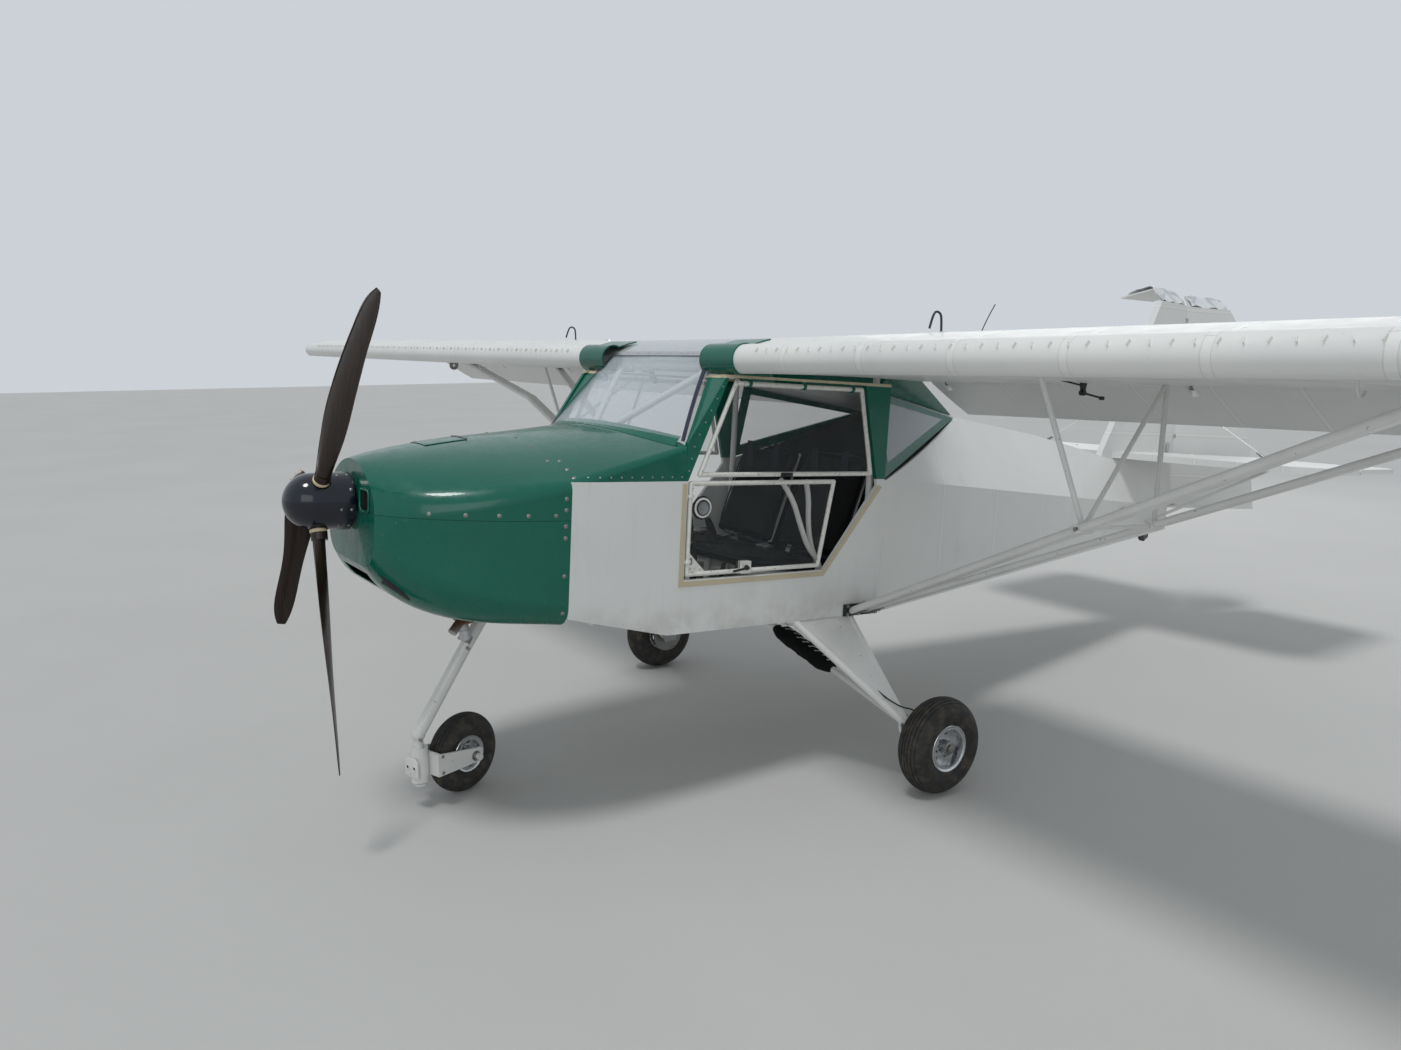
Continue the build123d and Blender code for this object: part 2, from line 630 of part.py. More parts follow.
def castor(shape):
    """Turn a piece drawn straight ahead to the heading at which the wheel stands."""
    return shape.rotate(Axis((PIVOT_X, 0, 0), (0, 0, 1)), CASTOR_REST)


FORK_INNER = NOSE_TYRE_W / 2 + 12
FORK_T = 10
TOW_PIN_L = 24
AXLE_X = PIVOT_X - TRAIL
fork = rod((PIVOT_X, 0, PIVOT_LOW + MOVE_GAP), (PIVOT_X, 0, PIVOT_TOP - 20), FORK_HEAD_R)
fork += block(PIVOT_X - 38, PIVOT_X - 24, -FORK_INNER - FORK_T, FORK_INNER + FORK_T, 118, 196)
for side in (1, -1):
    fork += side_sheet(
        ((PIVOT_X - 26, 118), (PIVOT_X - 26, 196), (AXLE_X - 26, NOSE_TYRE_R + 24), (AXLE_X - 26, NOSE_TYRE_R - 24)),
        side * FORK_INNER, side * (FORK_INNER + FORK_T))
fork -= rod((PIVOT_X, 0, 0), (PIVOT_X, 0, 400), PIVOT_R + RUN_GAP)
PIN_END_Y = FORK_INNER + FORK_T + TOW_PIN_L
fork += rod((AXLE_X, -PIN_END_Y, NOSE_TYRE_R), (AXLE_X, PIN_END_Y, NOSE_TYRE_R), AXLE_R)
add("nose_fork", castor(fork), body_frame=False)


def tyre(radius, width, bore):
    """Tyre as one turned ring with round shoulders and a rounded tread."""
    half = width / 2
    side_r = bore + 0.45 * (radius - bore)
    edge_r = radius - TYRE_SHOULDER * 0.5
    profile = face_of(
        Line((0, -half + 16, bore), (0, half - 16, bore)),
        ThreePointArc((0, half - 16, bore), (0, half, side_r), (0, half - 12, edge_r)),
        ThreePointArc((0, half - 12, edge_r), (0, 0, radius), (0, -half + 12, edge_r)),
        ThreePointArc((0, -half + 12, edge_r), (0, -half, side_r), (0, -half + 16, bore)),
    )
    return revolve(profile, axis=Axis.Y)


def rim(radius, width):
    """Wheel: rim with flanges, a web with three holes and a hub bored for the axle."""
    half = width / 2 - 14
    wheel = rod((0, -half, 0), (0, half, 0), radius - RUN_GAP)
    wheel -= rod((0, 10, 0), (0, half + 1, 0), radius - 12)
    wheel -= rod((0, -half - 1, 0), (0, -10, 0), radius - 12)
    wheel += rod((0, -half, 0), (0, half, 0), AXLE_R + 15)
    for k in range(3):
        y = sin(radians(120 * k)) * radius * 0.6
        z = cos(radians(120 * k)) * radius * 0.6
        wheel -= rod((y, -20, z), (y, 20, z), radius * 0.16)
    return wheel - rod((0, -200, 0), (0, 200, 0), AXLE_R + RUN_GAP)


nose_spot = (AXLE_X, 0, NOSE_TYRE_R)
add("nose_tyre", castor(tyre(NOSE_TYRE_R, NOSE_TYRE_W, NOSE_RIM_R).translate(nose_spot)), body_frame=False)
add("nose_rim", castor(rim(NOSE_RIM_R, NOSE_TYRE_W).translate(nose_spot)), body_frame=False)
main_spot = (0, HALF_TRACK, MAIN_TYRE_R)
both_sides("main_tyre", tyre(MAIN_TYRE_R, MAIN_TYRE_W, MAIN_RIM_R).translate(main_spot), body_frame=False)
both_sides("main_rim", rim(MAIN_RIM_R, MAIN_TYRE_W).translate(main_spot), body_frame=False)

# Main gear legs with their axles, brakes, cabane and bungee struts
KNUCKLE = (70, 826, 226)
LEG_FRONT = (344, 462, 572)
LEG_REAR = (64, 462, 572)
leg = rod(LEG_FRONT, KNUCKLE, 15) + rod(LEG_REAR, KNUCKLE, 15) + Pos(*KNUCKLE) * Sphere(18)
leg += sheet((LEG_FRONT, LEG_REAR, KNUCKLE), (0, 6, 6)) + sheet((LEG_FRONT, LEG_REAR, KNUCKLE), (0, -6, -6))
leg -= block(-200, 600, 0, 700, BELLY_Z, 700)
knuckle_x, knuckle_z = ground_xz(KNUCKLE[0], KNUCKLE[2])
WHEEL_INNER = HALF_TRACK - MAIN_TYRE_W / 2
PLATE_Y = WHEEL_INNER - 36
axle = rod((0, PLATE_Y - 10, MAIN_TYRE_R), (0, HALF_TRACK + MAIN_TYRE_W / 2 - 6, MAIN_TYRE_R), AXLE_R)
axle_plate = side_sheet(
    ((-26, MAIN_TYRE_R - 20), (-26, MAIN_TYRE_R + 30), (36, knuckle_z + 26), (knuckle_x + 24, knuckle_z + 12),
     (knuckle_x + 22, knuckle_z - 24), (20, MAIN_TYRE_R - 26)), PLATE_Y - 12, PLATE_Y)
both_sides("gear_leg", tip(leg) + axle + axle_plate, body_frame=False)
caliper = side_sheet(
    ((-20, MAIN_TYRE_R + 30), (34, MAIN_TYRE_R + 30), (34, MAIN_TYRE_R + 84), (-20, MAIN_TYRE_R + 84)),
    PLATE_Y, WHEEL_INNER - 8)
pair("brakes", caliper, body_frame=False)

CABANE_FOOT = (112, 0, 446)
CABANE_BALL = 18
cabane = rod((CABANE_FOOT[0], -64, CABANE_FOOT[2]), (CABANE_FOOT[0], 64, CABANE_FOOT[2]), 14)
for side in (1, -1):
    cabane += Pos(CABANE_FOOT[0], side * 64, CABANE_FOOT[2]) * Sphere(CABANE_BALL)
    for x in (40, 190):
        cabane += rod((x, side * 210, BELLY_Z + 10), (CABANE_FOOT[0], side * 40, CABANE_FOOT[2]), 10)
cabane -= block(-200, 600, -400, 400, BELLY_Z, 700)
add("gear_cabane", cabane)

top_ball = Vector(CABANE_FOOT[0], 64, CABANE_FOOT[2])
low_ball = Vector(*KNUCKLE)
along = (low_ball - top_ball).normalized()
strut_top = top_ball + along * (CABANE_BALL + RUN_GAP)
strut_low = low_ball - along * (18 + RUN_GAP)
bungee = rod(tuple(strut_top), tuple(strut_low), 12)
cover = faired_bar(tuple(top_ball + along * 60), tuple(top_ball + along * 400), 96, 60)
pair("bungee_struts", bungee - cover - leg)
pair("bungee_covers", cover)

# Lift struts and jury struts
STRUT_FACE_Y = HALF_WIDTH + 10
front_foot = (STRUT_FOOT_X, HALF_WIDTH, STRUT_FOOT_Z - 6)
rear_foot = (STRUT_FOOT_X - 58, HALF_WIDTH, STRUT_FOOT_Z - 8)
front_top = wing_point(FRONT_SPAR_AFT, STRUT_TOP_Y, 0)
rear_top = wing_point(REAR_SPAR_AFT, STRUT_TOP_Y, 2)
foot_clear = block(-400, 500, 300, STRUT_FACE_Y, 400, 800)
front_strut = faired_bar(front_foot, front_top, STRUT_CHORD, STRUT_T) - wing_clear - foot_clear
rear_strut = faired_bar(rear_foot, rear_top, STRUT_CHORD - 10, STRUT_T - 4) - wing_clear - foot_clear
bend = tuple(lerp(front_foot[i], front_top[i], BEND_SHARE) + (0, 0, BEND_RISE)[i] for i in range(3))


def bent_bar(chord, thickness):
    """The bent strut: two straight lengths that meet in a mitre."""
    foot, knee, top = Vector(*front_foot), Vector(*bend), Vector(*front_top)
    low, high = (knee - foot).normalized(), (top - knee).normalized()
    flat = low.cross(high)
    mitre = Plane(origin=knee, z_dir=low + high)
    lower = extrude(Plane(origin=foot, x_dir=flat, z_dir=low) * SlotOverall(chord, thickness),
                    amount=(knee - foot).length + chord)
    upper = extrude(Plane(origin=top, x_dir=flat, z_dir=high * -1) * SlotOverall(chord, thickness),
                    amount=(top - knee).length + chord)
    return split(lower, bisect_by=mitre, keep=Keep.BOTTOM) + split(upper, bisect_by=mitre, keep=Keep.TOP)


add("lift_struts_port", front_strut + rear_strut)
bent_strut = bent_bar(STRUT_CHORD, STRUT_T) - wing_clear - foot_clear
add("lift_struts_starboard", mirror(bent_strut + rear_strut, about=Plane.XZ))
pair("strut_fittings", block(STRUT_FOOT_X - 112, STRUT_FOOT_X + 56, HALF_WIDTH, STRUT_FACE_Y,
                             STRUT_FOOT_Z - 22, STRUT_FOOT_Z + 22))

# Tie-down eyes under the wing, just outboard of the struts
EYE_Y = 2700
EYE_T = 10
EYE_R = 9
EYE_DROP = 42
eye_top = wing_point(FRONT_SPAR_AFT, EYE_Y, 0)
eye_z = eye_top[2] - EYE_DROP
eye = block(eye_top[0] - 26, eye_top[0] + 26, EYE_Y - EYE_T / 2, EYE_Y + EYE_T / 2, eye_z, eye_top[2])
eye += rod((eye_top[0], EYE_Y - EYE_T / 2, eye_z), (eye_top[0], EYE_Y + EYE_T / 2, eye_z), 26)
eye -= rod((eye_top[0], EYE_Y - 30, eye_z), (eye_top[0], EYE_Y + 30, eye_z), EYE_R)
pair("tie_down_eyes", eye - wing_clear)


def on_bar(a, b, y):
    """Point of the line a-b at a given y."""
    t = (y - a[1]) / (b[1] - a[1])
    return tuple(lerp(a[i], b[i], t) for i in range(3))


JURY_Y = 1500
JURY_LOW_Y = 1570
JURY_R = 8
JURY_CLEAR = 0.6


def jury_set(front_line, front_bar):
    """The small struts between one pair of lift struts and the wing."""
    low_front = on_bar(front_foot, front_line, JURY_LOW_Y)
    low_rear = on_bar(rear_foot, rear_top, JURY_LOW_Y)
    high_front = wing_point(FRONT_SPAR_AFT, JURY_Y, 0)
    high_rear = wing_point(REAR_SPAR_AFT, JURY_Y, 2)
    jury = rod(low_front, high_front, JURY_R) + rod(low_rear, high_rear, JURY_R)
    jury += rod(low_front, high_rear, JURY_R - 1) + rod(low_front, low_rear, JURY_R - 1)
    jury -= faired_bar(rear_foot, rear_top, STRUT_CHORD - 10 + JURY_CLEAR, STRUT_T - 4 + JURY_CLEAR)
    return jury - front_bar - wing_clear


chord, thick = STRUT_CHORD + JURY_CLEAR, STRUT_T + JURY_CLEAR
jury = jury_set(front_top, faired_bar(front_foot, front_top, chord, thick))
jury += mirror(jury_set(bend, bent_bar(chord, thick)), about=Plane.XZ)
add("jury_struts", jury)

# Flaperons: one full-span surface under each trailing edge, drooped as parked
FLAPERON_NOSE = 30
FLAPERON_PIN_R = 4
HINGE_STATIONS = [FLAPERON_ROOT_Y + 60 + 980 * k for k in range(5)]
c = FLAPERON_CHORD - 34
t = FLAPERON_T
q = [(x, FLAPERON_ROOT_Y, z) for x, z in (
    (FLAPERON_NOSE, 0), (18, t * 0.55), (-c * 0.3, t * 0.56), (-c, 1.5), (-c, -1.5), (-c * 0.3, -t * 0.34),
    (18, -t * 0.42))]
flaperon_face = face_of(ThreePointArc(q[6], q[0], q[1]), ThreePointArc(q[1], q[2], q[3]), Line(q[3], q[4]),
                        ThreePointArc(q[4], q[5], q[6]))
flaperon = extrude(flaperon_face, amount=FLAPERON_TIP_Y - FLAPERON_ROOT_Y, dir=(0, 1, 0))
flaperon = flaperon.rotate(Axis.Y, -FLAPERON_DROOP)
hinges = None
for y in HINGE_STATIONS:
    flaperon -= block(-24, 60, y - 13, y + 13, -60, 60)
    lug = rod((0, y - 6.5, 0), (0, y + 6.5, 0), 10)
    lug += block(0, FLAPERON_HINGE_AFT - WING_AFT, y - 6.5, y + 6.5, 2, 9)
    lug -= rod((0, y - 20, 0), (0, y + 20, 0), FLAPERON_PIN_R + RUN_GAP)
    hinges = lug if hinges is None else hinges + lug
flaperon += rod((0, FLAPERON_ROOT_Y + 2, 0), (0, FLAPERON_TIP_Y - 2, 0), FLAPERON_PIN_R)
hinge_at = (-FLAPERON_HINGE_AFT, 0, FLAPERON_HINGE_Z)
both_sides("flaperon", wing_place(flaperon.translate(hinge_at)))
pair("flaperon_hinges", wing_place(hinges.translate(hinge_at)))

# Fin with its top folded over to starboard, and the rudder
FIN_LE = ((FIN_ROOT_LE_X, 1104), (-2128, 1160), (-2200, 1288), (-2452, 1812), (FIN_TOP_LE_X, FIN_FOLD_Z))
FOLD_T = 8
RUDDER_LUGS = (900, 1240, 1560, 1880)
RUDDER_PIN_R = 5
post_x = TAIL_POST_X
fin = side_sheet(FIN_LE + ((post_x, FIN_FOLD_Z - 6), (post_x, 1104)), -FIN_T / 2, FIN_T / 2)
fold_low = ((FIN_TOP_LE_X + 4, 14, FIN_FOLD_Z - 6), (post_x, 14, FIN_FOLD_Z - 10))
fold_mid = ((post_x, -60, FIN_FOLD_Z + 62), (FIN_TOP_LE_X - 20, -40, FIN_FOLD_Z + 74))
fold_far = ((post_x - 12, -196, FIN_FOLD_Z + 30), (FIN_TOP_LE_X + 70, -190, FIN_FOLD_Z + 20))
fin += quad(fold_low[0], fold_low[1], fold_mid[0], fold_mid[1], (0, -FOLD_T, -FOLD_T))
fin += quad(fold_mid[1], fold_mid[0], fold_far[0], fold_far[1], (0, 0, -FOLD_T))
fin -= rod((ELEV_HINGE_X, -200, STAB_Z), (ELEV_HINGE_X, 200, STAB_Z), ELEV_HOLE_R)
fin -= rear
for z in RUDDER_LUGS:
    fin += rod((RUDDER_HINGE_X, 0, z - 30), (RUDDER_HINGE_X, 0, z + 30), RUDDER_PIN_R)
    fin += block(RUDDER_HINGE_X, post_x, -6, 6, z - 6, z + 6)
add("fin", fin)

(z0, chord0), (z1, chord1), (z2, chord2) = RUDDER_CHORDS
RUDDER_TOP_Z = FIN_FOLD_Z - 10
rudder = side_sheet(((14, z0), (-chord0, z0), (-chord1, z1), (-chord2, z2), (-330, 1900), (-285, RUDDER_TOP_Z - 2),
                     (14, RUDDER_TOP_Z)), -13, 13)
rudder += rod((0, 0, z0), (0, 0, RUDDER_TOP_Z), 14)
rudder += quad((-24, 6, RUDDER_TOP_Z - 4), (-285, 6, RUDDER_TOP_Z - 6), (-250, -60, RUDDER_TOP_Z + 52),
               (-38, -60, RUDDER_TOP_Z + 66), (0, -FOLD_T, -FOLD_T))
rudder -= rod((0, 0, 0), (0, 0, 2500), RUDDER_PIN_R + RUN_GAP)
for z in RUDDER_LUGS:
    rudder -= rod((0, 0, z - 12), (0, 0, z + 12), 22)
rudder = rudder.rotate(Axis.Z, -RUDDER_REST)
add("rudder", rudder.translate((RUDDER_HINGE_X, 0, 0)))

# Stabilizers, elevator and their braces
stab_x = ELEV_HINGE_X + 22
stab = plan_sheet(
    ((STAB_ROOT_LE_X, FIN_T / 2), (STAB_TIP_LE_X + 60, STAB_HALF - 120), (STAB_TIP_LE_X - 20, STAB_HALF - 30),
     (STAB_TIP_LE_X - 90, STAB_HALF), (stab_x, STAB_HALF), (stab_x, FIN_T / 2)),
    STAB_Z - STAB_T / 2, STAB_Z + STAB_T / 2)
ELEV_CUT_X = -2792
ELEV_SLOPE = 0.54
elev_half = plan_sheet(
    ((ELEV_HINGE_X, ELEV_INNER_Y), (ELEV_CUT_X, ELEV_INNER_Y),
     (ELEV_TE_X, ELEV_INNER_Y + (ELEV_CUT_X - ELEV_TE_X) * ELEV_SLOPE), (ELEV_TE_X, STAB_HALF - 90),
     (ELEV_TE_X + 60, STAB_HALF - 18), (ELEV_TE_X + 150, STAB_HALF), (ELEV_HINGE_X, STAB_HALF)),
    STAB_Z - 11, STAB_Z + 11)
elevator = elev_half + mirror(elev_half, about=Plane.XZ)
elevator += rod((ELEV_HINGE_X, -STAB_HALF, STAB_Z), (ELEV_HINGE_X, STAB_HALF, STAB_Z), ELEV_TUBE_R)
for y in (180, 560, 960):
    ring = rod((ELEV_HINGE_X, y - 6, STAB_Z), (ELEV_HINGE_X, y + 6, STAB_Z), ELEV_TUBE_R + 7)
    ring += block(ELEV_HINGE_X, stab_x, y - 6, y + 6, STAB_Z - 9, STAB_Z + 9)
    stab += ring - rod((ELEV_HINGE_X, y - 8, STAB_Z), (ELEV_HINGE_X, y + 8, STAB_Z), ELEV_TUBE_R + RUN_GAP)
    for side in (1, -1):
        elevator -= pipe((ELEV_HINGE_X, side * y - 12, STAB_Z), (ELEV_HINGE_X, side * y + 12, STAB_Z),
                         ELEV_TUBE_R + 14, ELEV_TUBE_R)
pair("stabilizers", stab - rear)
add("elevator", elevator)

BRACE_Y = 690
stab_low = STAB_Z - STAB_T / 2
stab_high = STAB_Z + STAB_T / 2
brace = rod((-2562, BRACE_Y + 6, stab_low + 6), (-2480, 40, 750), 8) - rear
brace -= block(-3000, -2000, 0, 800, stab_low, 1300)
wire = rod((-2540, BRACE_Y + 6, stab_high - 4), (-2540, 0, 1560), 4)
wire -= block(-3000, -2000, 0, 800, 1000, stab_high) + block(-3000, -2000, -100, FIN_T / 2, 1000, 1700)
pair("tail_braces", brace + wire)
SKID_T = 16
TAIL_EYE = (-2612, 676)
TAIL_EYE_R = 8
skid = side_sheet(((-2500, 760), (-2640, 760), (-2640, 672), (-2604, 650), (-2580, 656)), -SKID_T / 2, SKID_T / 2)
skid -= rod((TAIL_EYE[0], -40, TAIL_EYE[1]), (TAIL_EYE[0], 40, TAIL_EYE[1]), TAIL_EYE_R)
add("tail_skid", skid - rear)

# Propeller: two whole blades, and a third that is snapped near its root

SPINNER_T = 3
HUB_R = 52
HUB_FRONT_X = 1934


def flat_blade(rows):
    """Loft thin two-arc sections given as plane, chord, thickness and sweep."""
    faces = []
    for plane, chord, thick, sweep in rows:
        a = (-chord * 0.5 + sweep, 0)
        b = (chord * 0.5 + sweep, 0)
        faces.append(plane * face_of(ThreePointArc(a, (sweep, thick * 0.6), b),
                                     ThreePointArc(b, (sweep, -thick * 0.4), a)))
    return loft(faces)


def blade(angle, sections):
    """One blade drawn along +Z and turned towards port from the top."""
    rows = []
    for r, chord, thick, pitch, sweep in sections:
        plane = Plane(origin=(0, 0, r), x_dir=(sin(radians(pitch)), -cos(radians(pitch)), 0), z_dir=(0, 0, 1))
        rows.append((plane, chord, thick, sweep))
    solid = flat_blade(rows) + rod((0, 0, 40), (0, 0, sections[0][0] + 6), BLADE_ROOT_R)
    return solid.rotate(Axis.X, -angle).translate((PROP_X, 0, PROP_Z))


propeller = rod((SPINNER_REAR_X + 4, 0, PROP_Z), (HUB_FRONT_X, 0, PROP_Z), HUB_R)
propeller += rod((SHAFT_END_X, 0, PROP_Z), (SPINNER_REAR_X + 6, 0, PROP_Z), SHAFT_R)
for angle in (PROP_PHASE, PROP_PHASE + 120):
    propeller += blade(angle, BLADE_SECTIONS)
propeller += blade(PROP_PHASE + 240, STUB_SECTIONS)
stub_angle = radians(PROP_PHASE + 240)
hang_root = Vector(PROP_X - 8, sin(stub_angle) * HANG_ROOT_R, PROP_Z + cos(stub_angle) * HANG_ROOT_R)
hang_tip = Vector(*HANG_TIP)
hang_rows = []
for share, chord, thick, sweep in HANG_SECTIONS:
    spot = hang_root + (hang_tip - hang_root) * share
    plane = Plane(origin=spot, x_dir=(1, 0, 0), z_dir=hang_tip - hang_root)
    hang_rows.append((plane, chord, thick, sweep))
propeller += flat_blade(hang_rows)
add("propeller", propeller)


def spinner_body(shrink):
    """Domed spinner as a turned solid."""
    r = SPINNER_R - shrink
    dome = r - 4
    dome_x = SPINNER_TIP_X - shrink - dome
    rear_x = SPINNER_REAR_X + (4 if shrink else 0)
    profile = face_of(
        Line((rear_x, 0, 0), (rear_x, 0, r)),
        Line((rear_x, 0, r), (dome_x, 0, dome)),
        ThreePointArc((dome_x, 0, dome), (dome_x + dome * cos(radians(45)), 0, dome * sin(radians(45))),
                      (dome_x + dome, 0, 0)),
        Line((dome_x + dome, 0, 0), (rear_x, 0, 0)),
    )
    return revolve(profile, axis=Axis.X).translate((0, 0, PROP_Z))


spinner = spinner_body(0) - spinner_body(SPINNER_T)
spinner -= rod((SPINNER_REAR_X - 10, 0, PROP_Z), (SPINNER_REAR_X + 10, 0, PROP_Z), SHAFT_R + RUN_GAP)
for k in range(3):
    a = radians(PROP_PHASE + 120 * k)
    spinner -= rod((PROP_X, 0, PROP_Z), (PROP_X, sin(a) * 120, PROP_Z + cos(a) * 120), BLADE_ROOT_R + 3)
add("spinner", spinner)

# Doors: each side has an upper leaf hung from the top and a lower leaf hung from its front edge
DOOR_Y = HALF_WIDTH - DOOR_FRAME_R
UPPER_HINGE_Z = 1398
UPPER_LEAF = ((656, UPPER_HINGE_Z), (786, 1090), (10, 1090), (82, UPPER_HINGE_Z))
LOWER_HINGE_X = 820
LOWER_LEAF = ((LOWER_HINGE_X, 1062), (LOWER_HINGE_X, 756), (244, 756), (190, 1062))
UPPER_HINGES = (600, 360, 130)
LOWER_HINGES = (1020, 800)
RING_R = DOOR_FRAME_R + 5


def leaf(corners):
    """A closed ring of tube with a clear sheet inside."""
    points = [(x, DOOR_Y, z) for x, z in corners]
    ring = None
    for start, end in zip(points, points[1:] + points[:1]):
        bar = rod(start, end, DOOR_FRAME_R) + Pos(*start) * Sphere(DOOR_FRAME_R)
        ring = bar if ring is None else ring + bar
    return ring + side_sheet(corners, DOOR_Y - SHEET_T / 2, DOOR_Y + SHEET_T / 2)


upper = leaf(UPPER_LEAF)
for x in UPPER_HINGES:
    upper -= pipe((x - 11, DOOR_Y, UPPER_HINGE_Z), (x + 11, DOOR_Y, UPPER_HINGE_Z), RING_R + 6, DOOR_FRAME_R)
    ring = rod((x - 5, DOOR_Y, UPPER_HINGE_Z), (x + 5, DOOR_Y, UPPER_HINGE_Z), RING_R)
    ring += block(x - 5, x + 5, DOOR_Y - 6, DOOR_Y + 6, UPPER_HINGE_Z, RAIL_BOTTOM)
    ring -= rod((x - 9, DOOR_Y, UPPER_HINGE_Z), (x + 9, DOOR_Y, UPPER_HINGE_Z), DOOR_FRAME_R + RUN_GAP)
    posts += ring
both_sides("door_upper", upper)
pair("cabin_posts", posts)

lower = leaf(LOWER_LEAF)
lower += side_sheet(((LOWER_HINGE_X - 2, 760), (LOWER_HINGE_X - 74, 760), (LOWER_HINGE_X - 2, 832)), DOOR_Y - 4, DOOR_Y + 4)
lower += pipe((770, DOOR_Y - 5, 980), (770, DOOR_Y + 7, 980), 34, 27)
lower += block(560, 600, DOOR_Y - 9, DOOR_Y + 14, 748, 790)
for z in LOWER_HINGES:
    lower -= pipe((LOWER_HINGE_X, DOOR_Y, z - 11), (LOWER_HINGE_X, DOOR_Y, z + 11), RING_R + 6, DOOR_FRAME_R)
    ring = rod((LOWER_HINGE_X, DOOR_Y, z - 5), (LOWER_HINGE_X, DOOR_Y, z + 5), RING_R)
    ring += block(LOWER_HINGE_X, DOOR_FRONT_X, DOOR_Y - 6, DOOR_Y + 6, z - 5, z + 5)
    ring -= rod((LOWER_HINGE_X, DOOR_Y, z - 9), (LOWER_HINGE_X, DOOR_Y, z + 9), DOOR_FRAME_R + RUN_GAP)
    side_wall += ring
both_sides("door_lower", lower)
both_sides("cabin_side", side_wall)

# Centre the whole machine on the origin and write one file per piece
lows = [shape.bounding_box().min for shape in parts.values()]
highs = [shape.bounding_box().max for shape in parts.values()]
CENTRE_X = (min(v.X for v in lows) + max(v.X for v in highs)) / 2
FLOOR = min(v.Z for v in lows)
os.makedirs("parts", exist_ok=True)
for name, shape in parts.items():
    parts[name] = shape.translate((-CENTRE_X, 0, 0))
    export_step(parts[name], os.path.join("parts", name + ".step"))
print(len(parts), "pieces; middle at x =", round(CENTRE_X, 2), "lowest z =", round(FLOOR, 3))
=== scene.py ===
"""Ultralight aircraft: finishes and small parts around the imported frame, laid out as a Blender add-on."""

import math
import random

import bpy
from mathutils import Matrix, Vector
from mathutils.bvhtree import BVHTree


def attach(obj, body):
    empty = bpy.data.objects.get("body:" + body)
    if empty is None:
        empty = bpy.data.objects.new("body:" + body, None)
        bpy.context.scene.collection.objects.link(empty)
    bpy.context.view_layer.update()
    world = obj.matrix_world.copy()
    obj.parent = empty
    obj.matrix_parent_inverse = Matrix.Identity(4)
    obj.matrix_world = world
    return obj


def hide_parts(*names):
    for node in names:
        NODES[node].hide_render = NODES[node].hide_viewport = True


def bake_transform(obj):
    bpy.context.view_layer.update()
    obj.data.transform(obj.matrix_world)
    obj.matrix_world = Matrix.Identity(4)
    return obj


bl_info = {
    "name": "Ultralight Aircraft Fit-Out",
    "version": (1, 0, 0),
    "blender": (4, 5, 0),
    "location": "View3D > Sidebar > Aircraft",
    "description": "Dresses the packed ultralight aircraft with finishes, fasteners, cloth and fittings",
    "category": "Object",
}

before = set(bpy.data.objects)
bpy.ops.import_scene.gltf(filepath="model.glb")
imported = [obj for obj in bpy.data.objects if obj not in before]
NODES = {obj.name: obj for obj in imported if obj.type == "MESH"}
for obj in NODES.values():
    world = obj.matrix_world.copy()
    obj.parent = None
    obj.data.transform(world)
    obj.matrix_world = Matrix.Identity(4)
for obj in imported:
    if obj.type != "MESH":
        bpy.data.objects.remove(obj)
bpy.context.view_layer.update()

# The airframe is drawn level, x = 0 at the main axle, and parks nose-up about that axle.
PARK = math.radians(3.7)
AXLE_Z = 0.172
CENTRE_X = -0.72117
BODY = (Matrix.Translation((-CENTRE_X, 0, AXLE_Z)) @ Matrix.Rotation(-PARK, 4, "Y")
        @ Matrix.Translation((0, 0, -AXLE_Z)))
LEVEL = BODY.inverted()
AIRFRAME = "airframe"
SIDES = ((1, "port"), (-1, "starboard"))


def at(x, y, z):
    """Body-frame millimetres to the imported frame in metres."""
    return BODY @ Vector((x / 1000, y / 1000, z / 1000))


def ground(x, y, z):
    """Parked-frame millimetres, x = 0 at the main axle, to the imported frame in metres."""
    return Vector((x / 1000 - CENTRE_X, y / 1000, z / 1000))


def heading(x, y, z):
    """A body-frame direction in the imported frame."""
    return (BODY.to_3x3() @ Vector((x, y, z))).normalized()


UP = heading(0, 0, 1)
DOWN = heading(0, 0, -1)
FORE = heading(1, 0, 0)
AFT = heading(-1, 0, 0)
PORT = heading(0, 1, 0)


def srgb(r, g, b):
    """Linear colour from eight-bit paint-chart values."""
    def line(c):
        c = c / 255
        return c / 12.92 if c <= 0.04045 else ((c + 0.055) / 1.055) ** 2.4
    return (line(r), line(g), line(b), 1.0)


def shade(colour, share, lift=0.0):
    """A colour made darker or lighter."""
    return tuple(min(1, c * share + lift) for c in colour[:3]) + (1,)


# Wing places, in the wing panel's own frame: aft of the nose, out from the middle, up
WING_NOSE = (699, 1455)
WING_INCIDENCE = math.radians(0.4)
DIHEDRAL = math.radians(0.6)


def wing(aft, y, z, side=1):
    """Packed-frame place of a wing-panel point on either side."""
    x1 = -aft * math.cos(WING_INCIDENCE) - z * math.sin(WING_INCIDENCE)
    z1 = -aft * math.sin(WING_INCIDENCE) + z * math.cos(WING_INCIDENCE)
    out = y * math.cos(DIHEDRAL) - z1 * math.sin(DIHEDRAL)
    up = y * math.sin(DIHEDRAL) + z1 * math.cos(DIHEDRAL)
    return at(WING_NOSE[0] + x1, side * out, WING_NOSE[1] + up)


# Shader maths

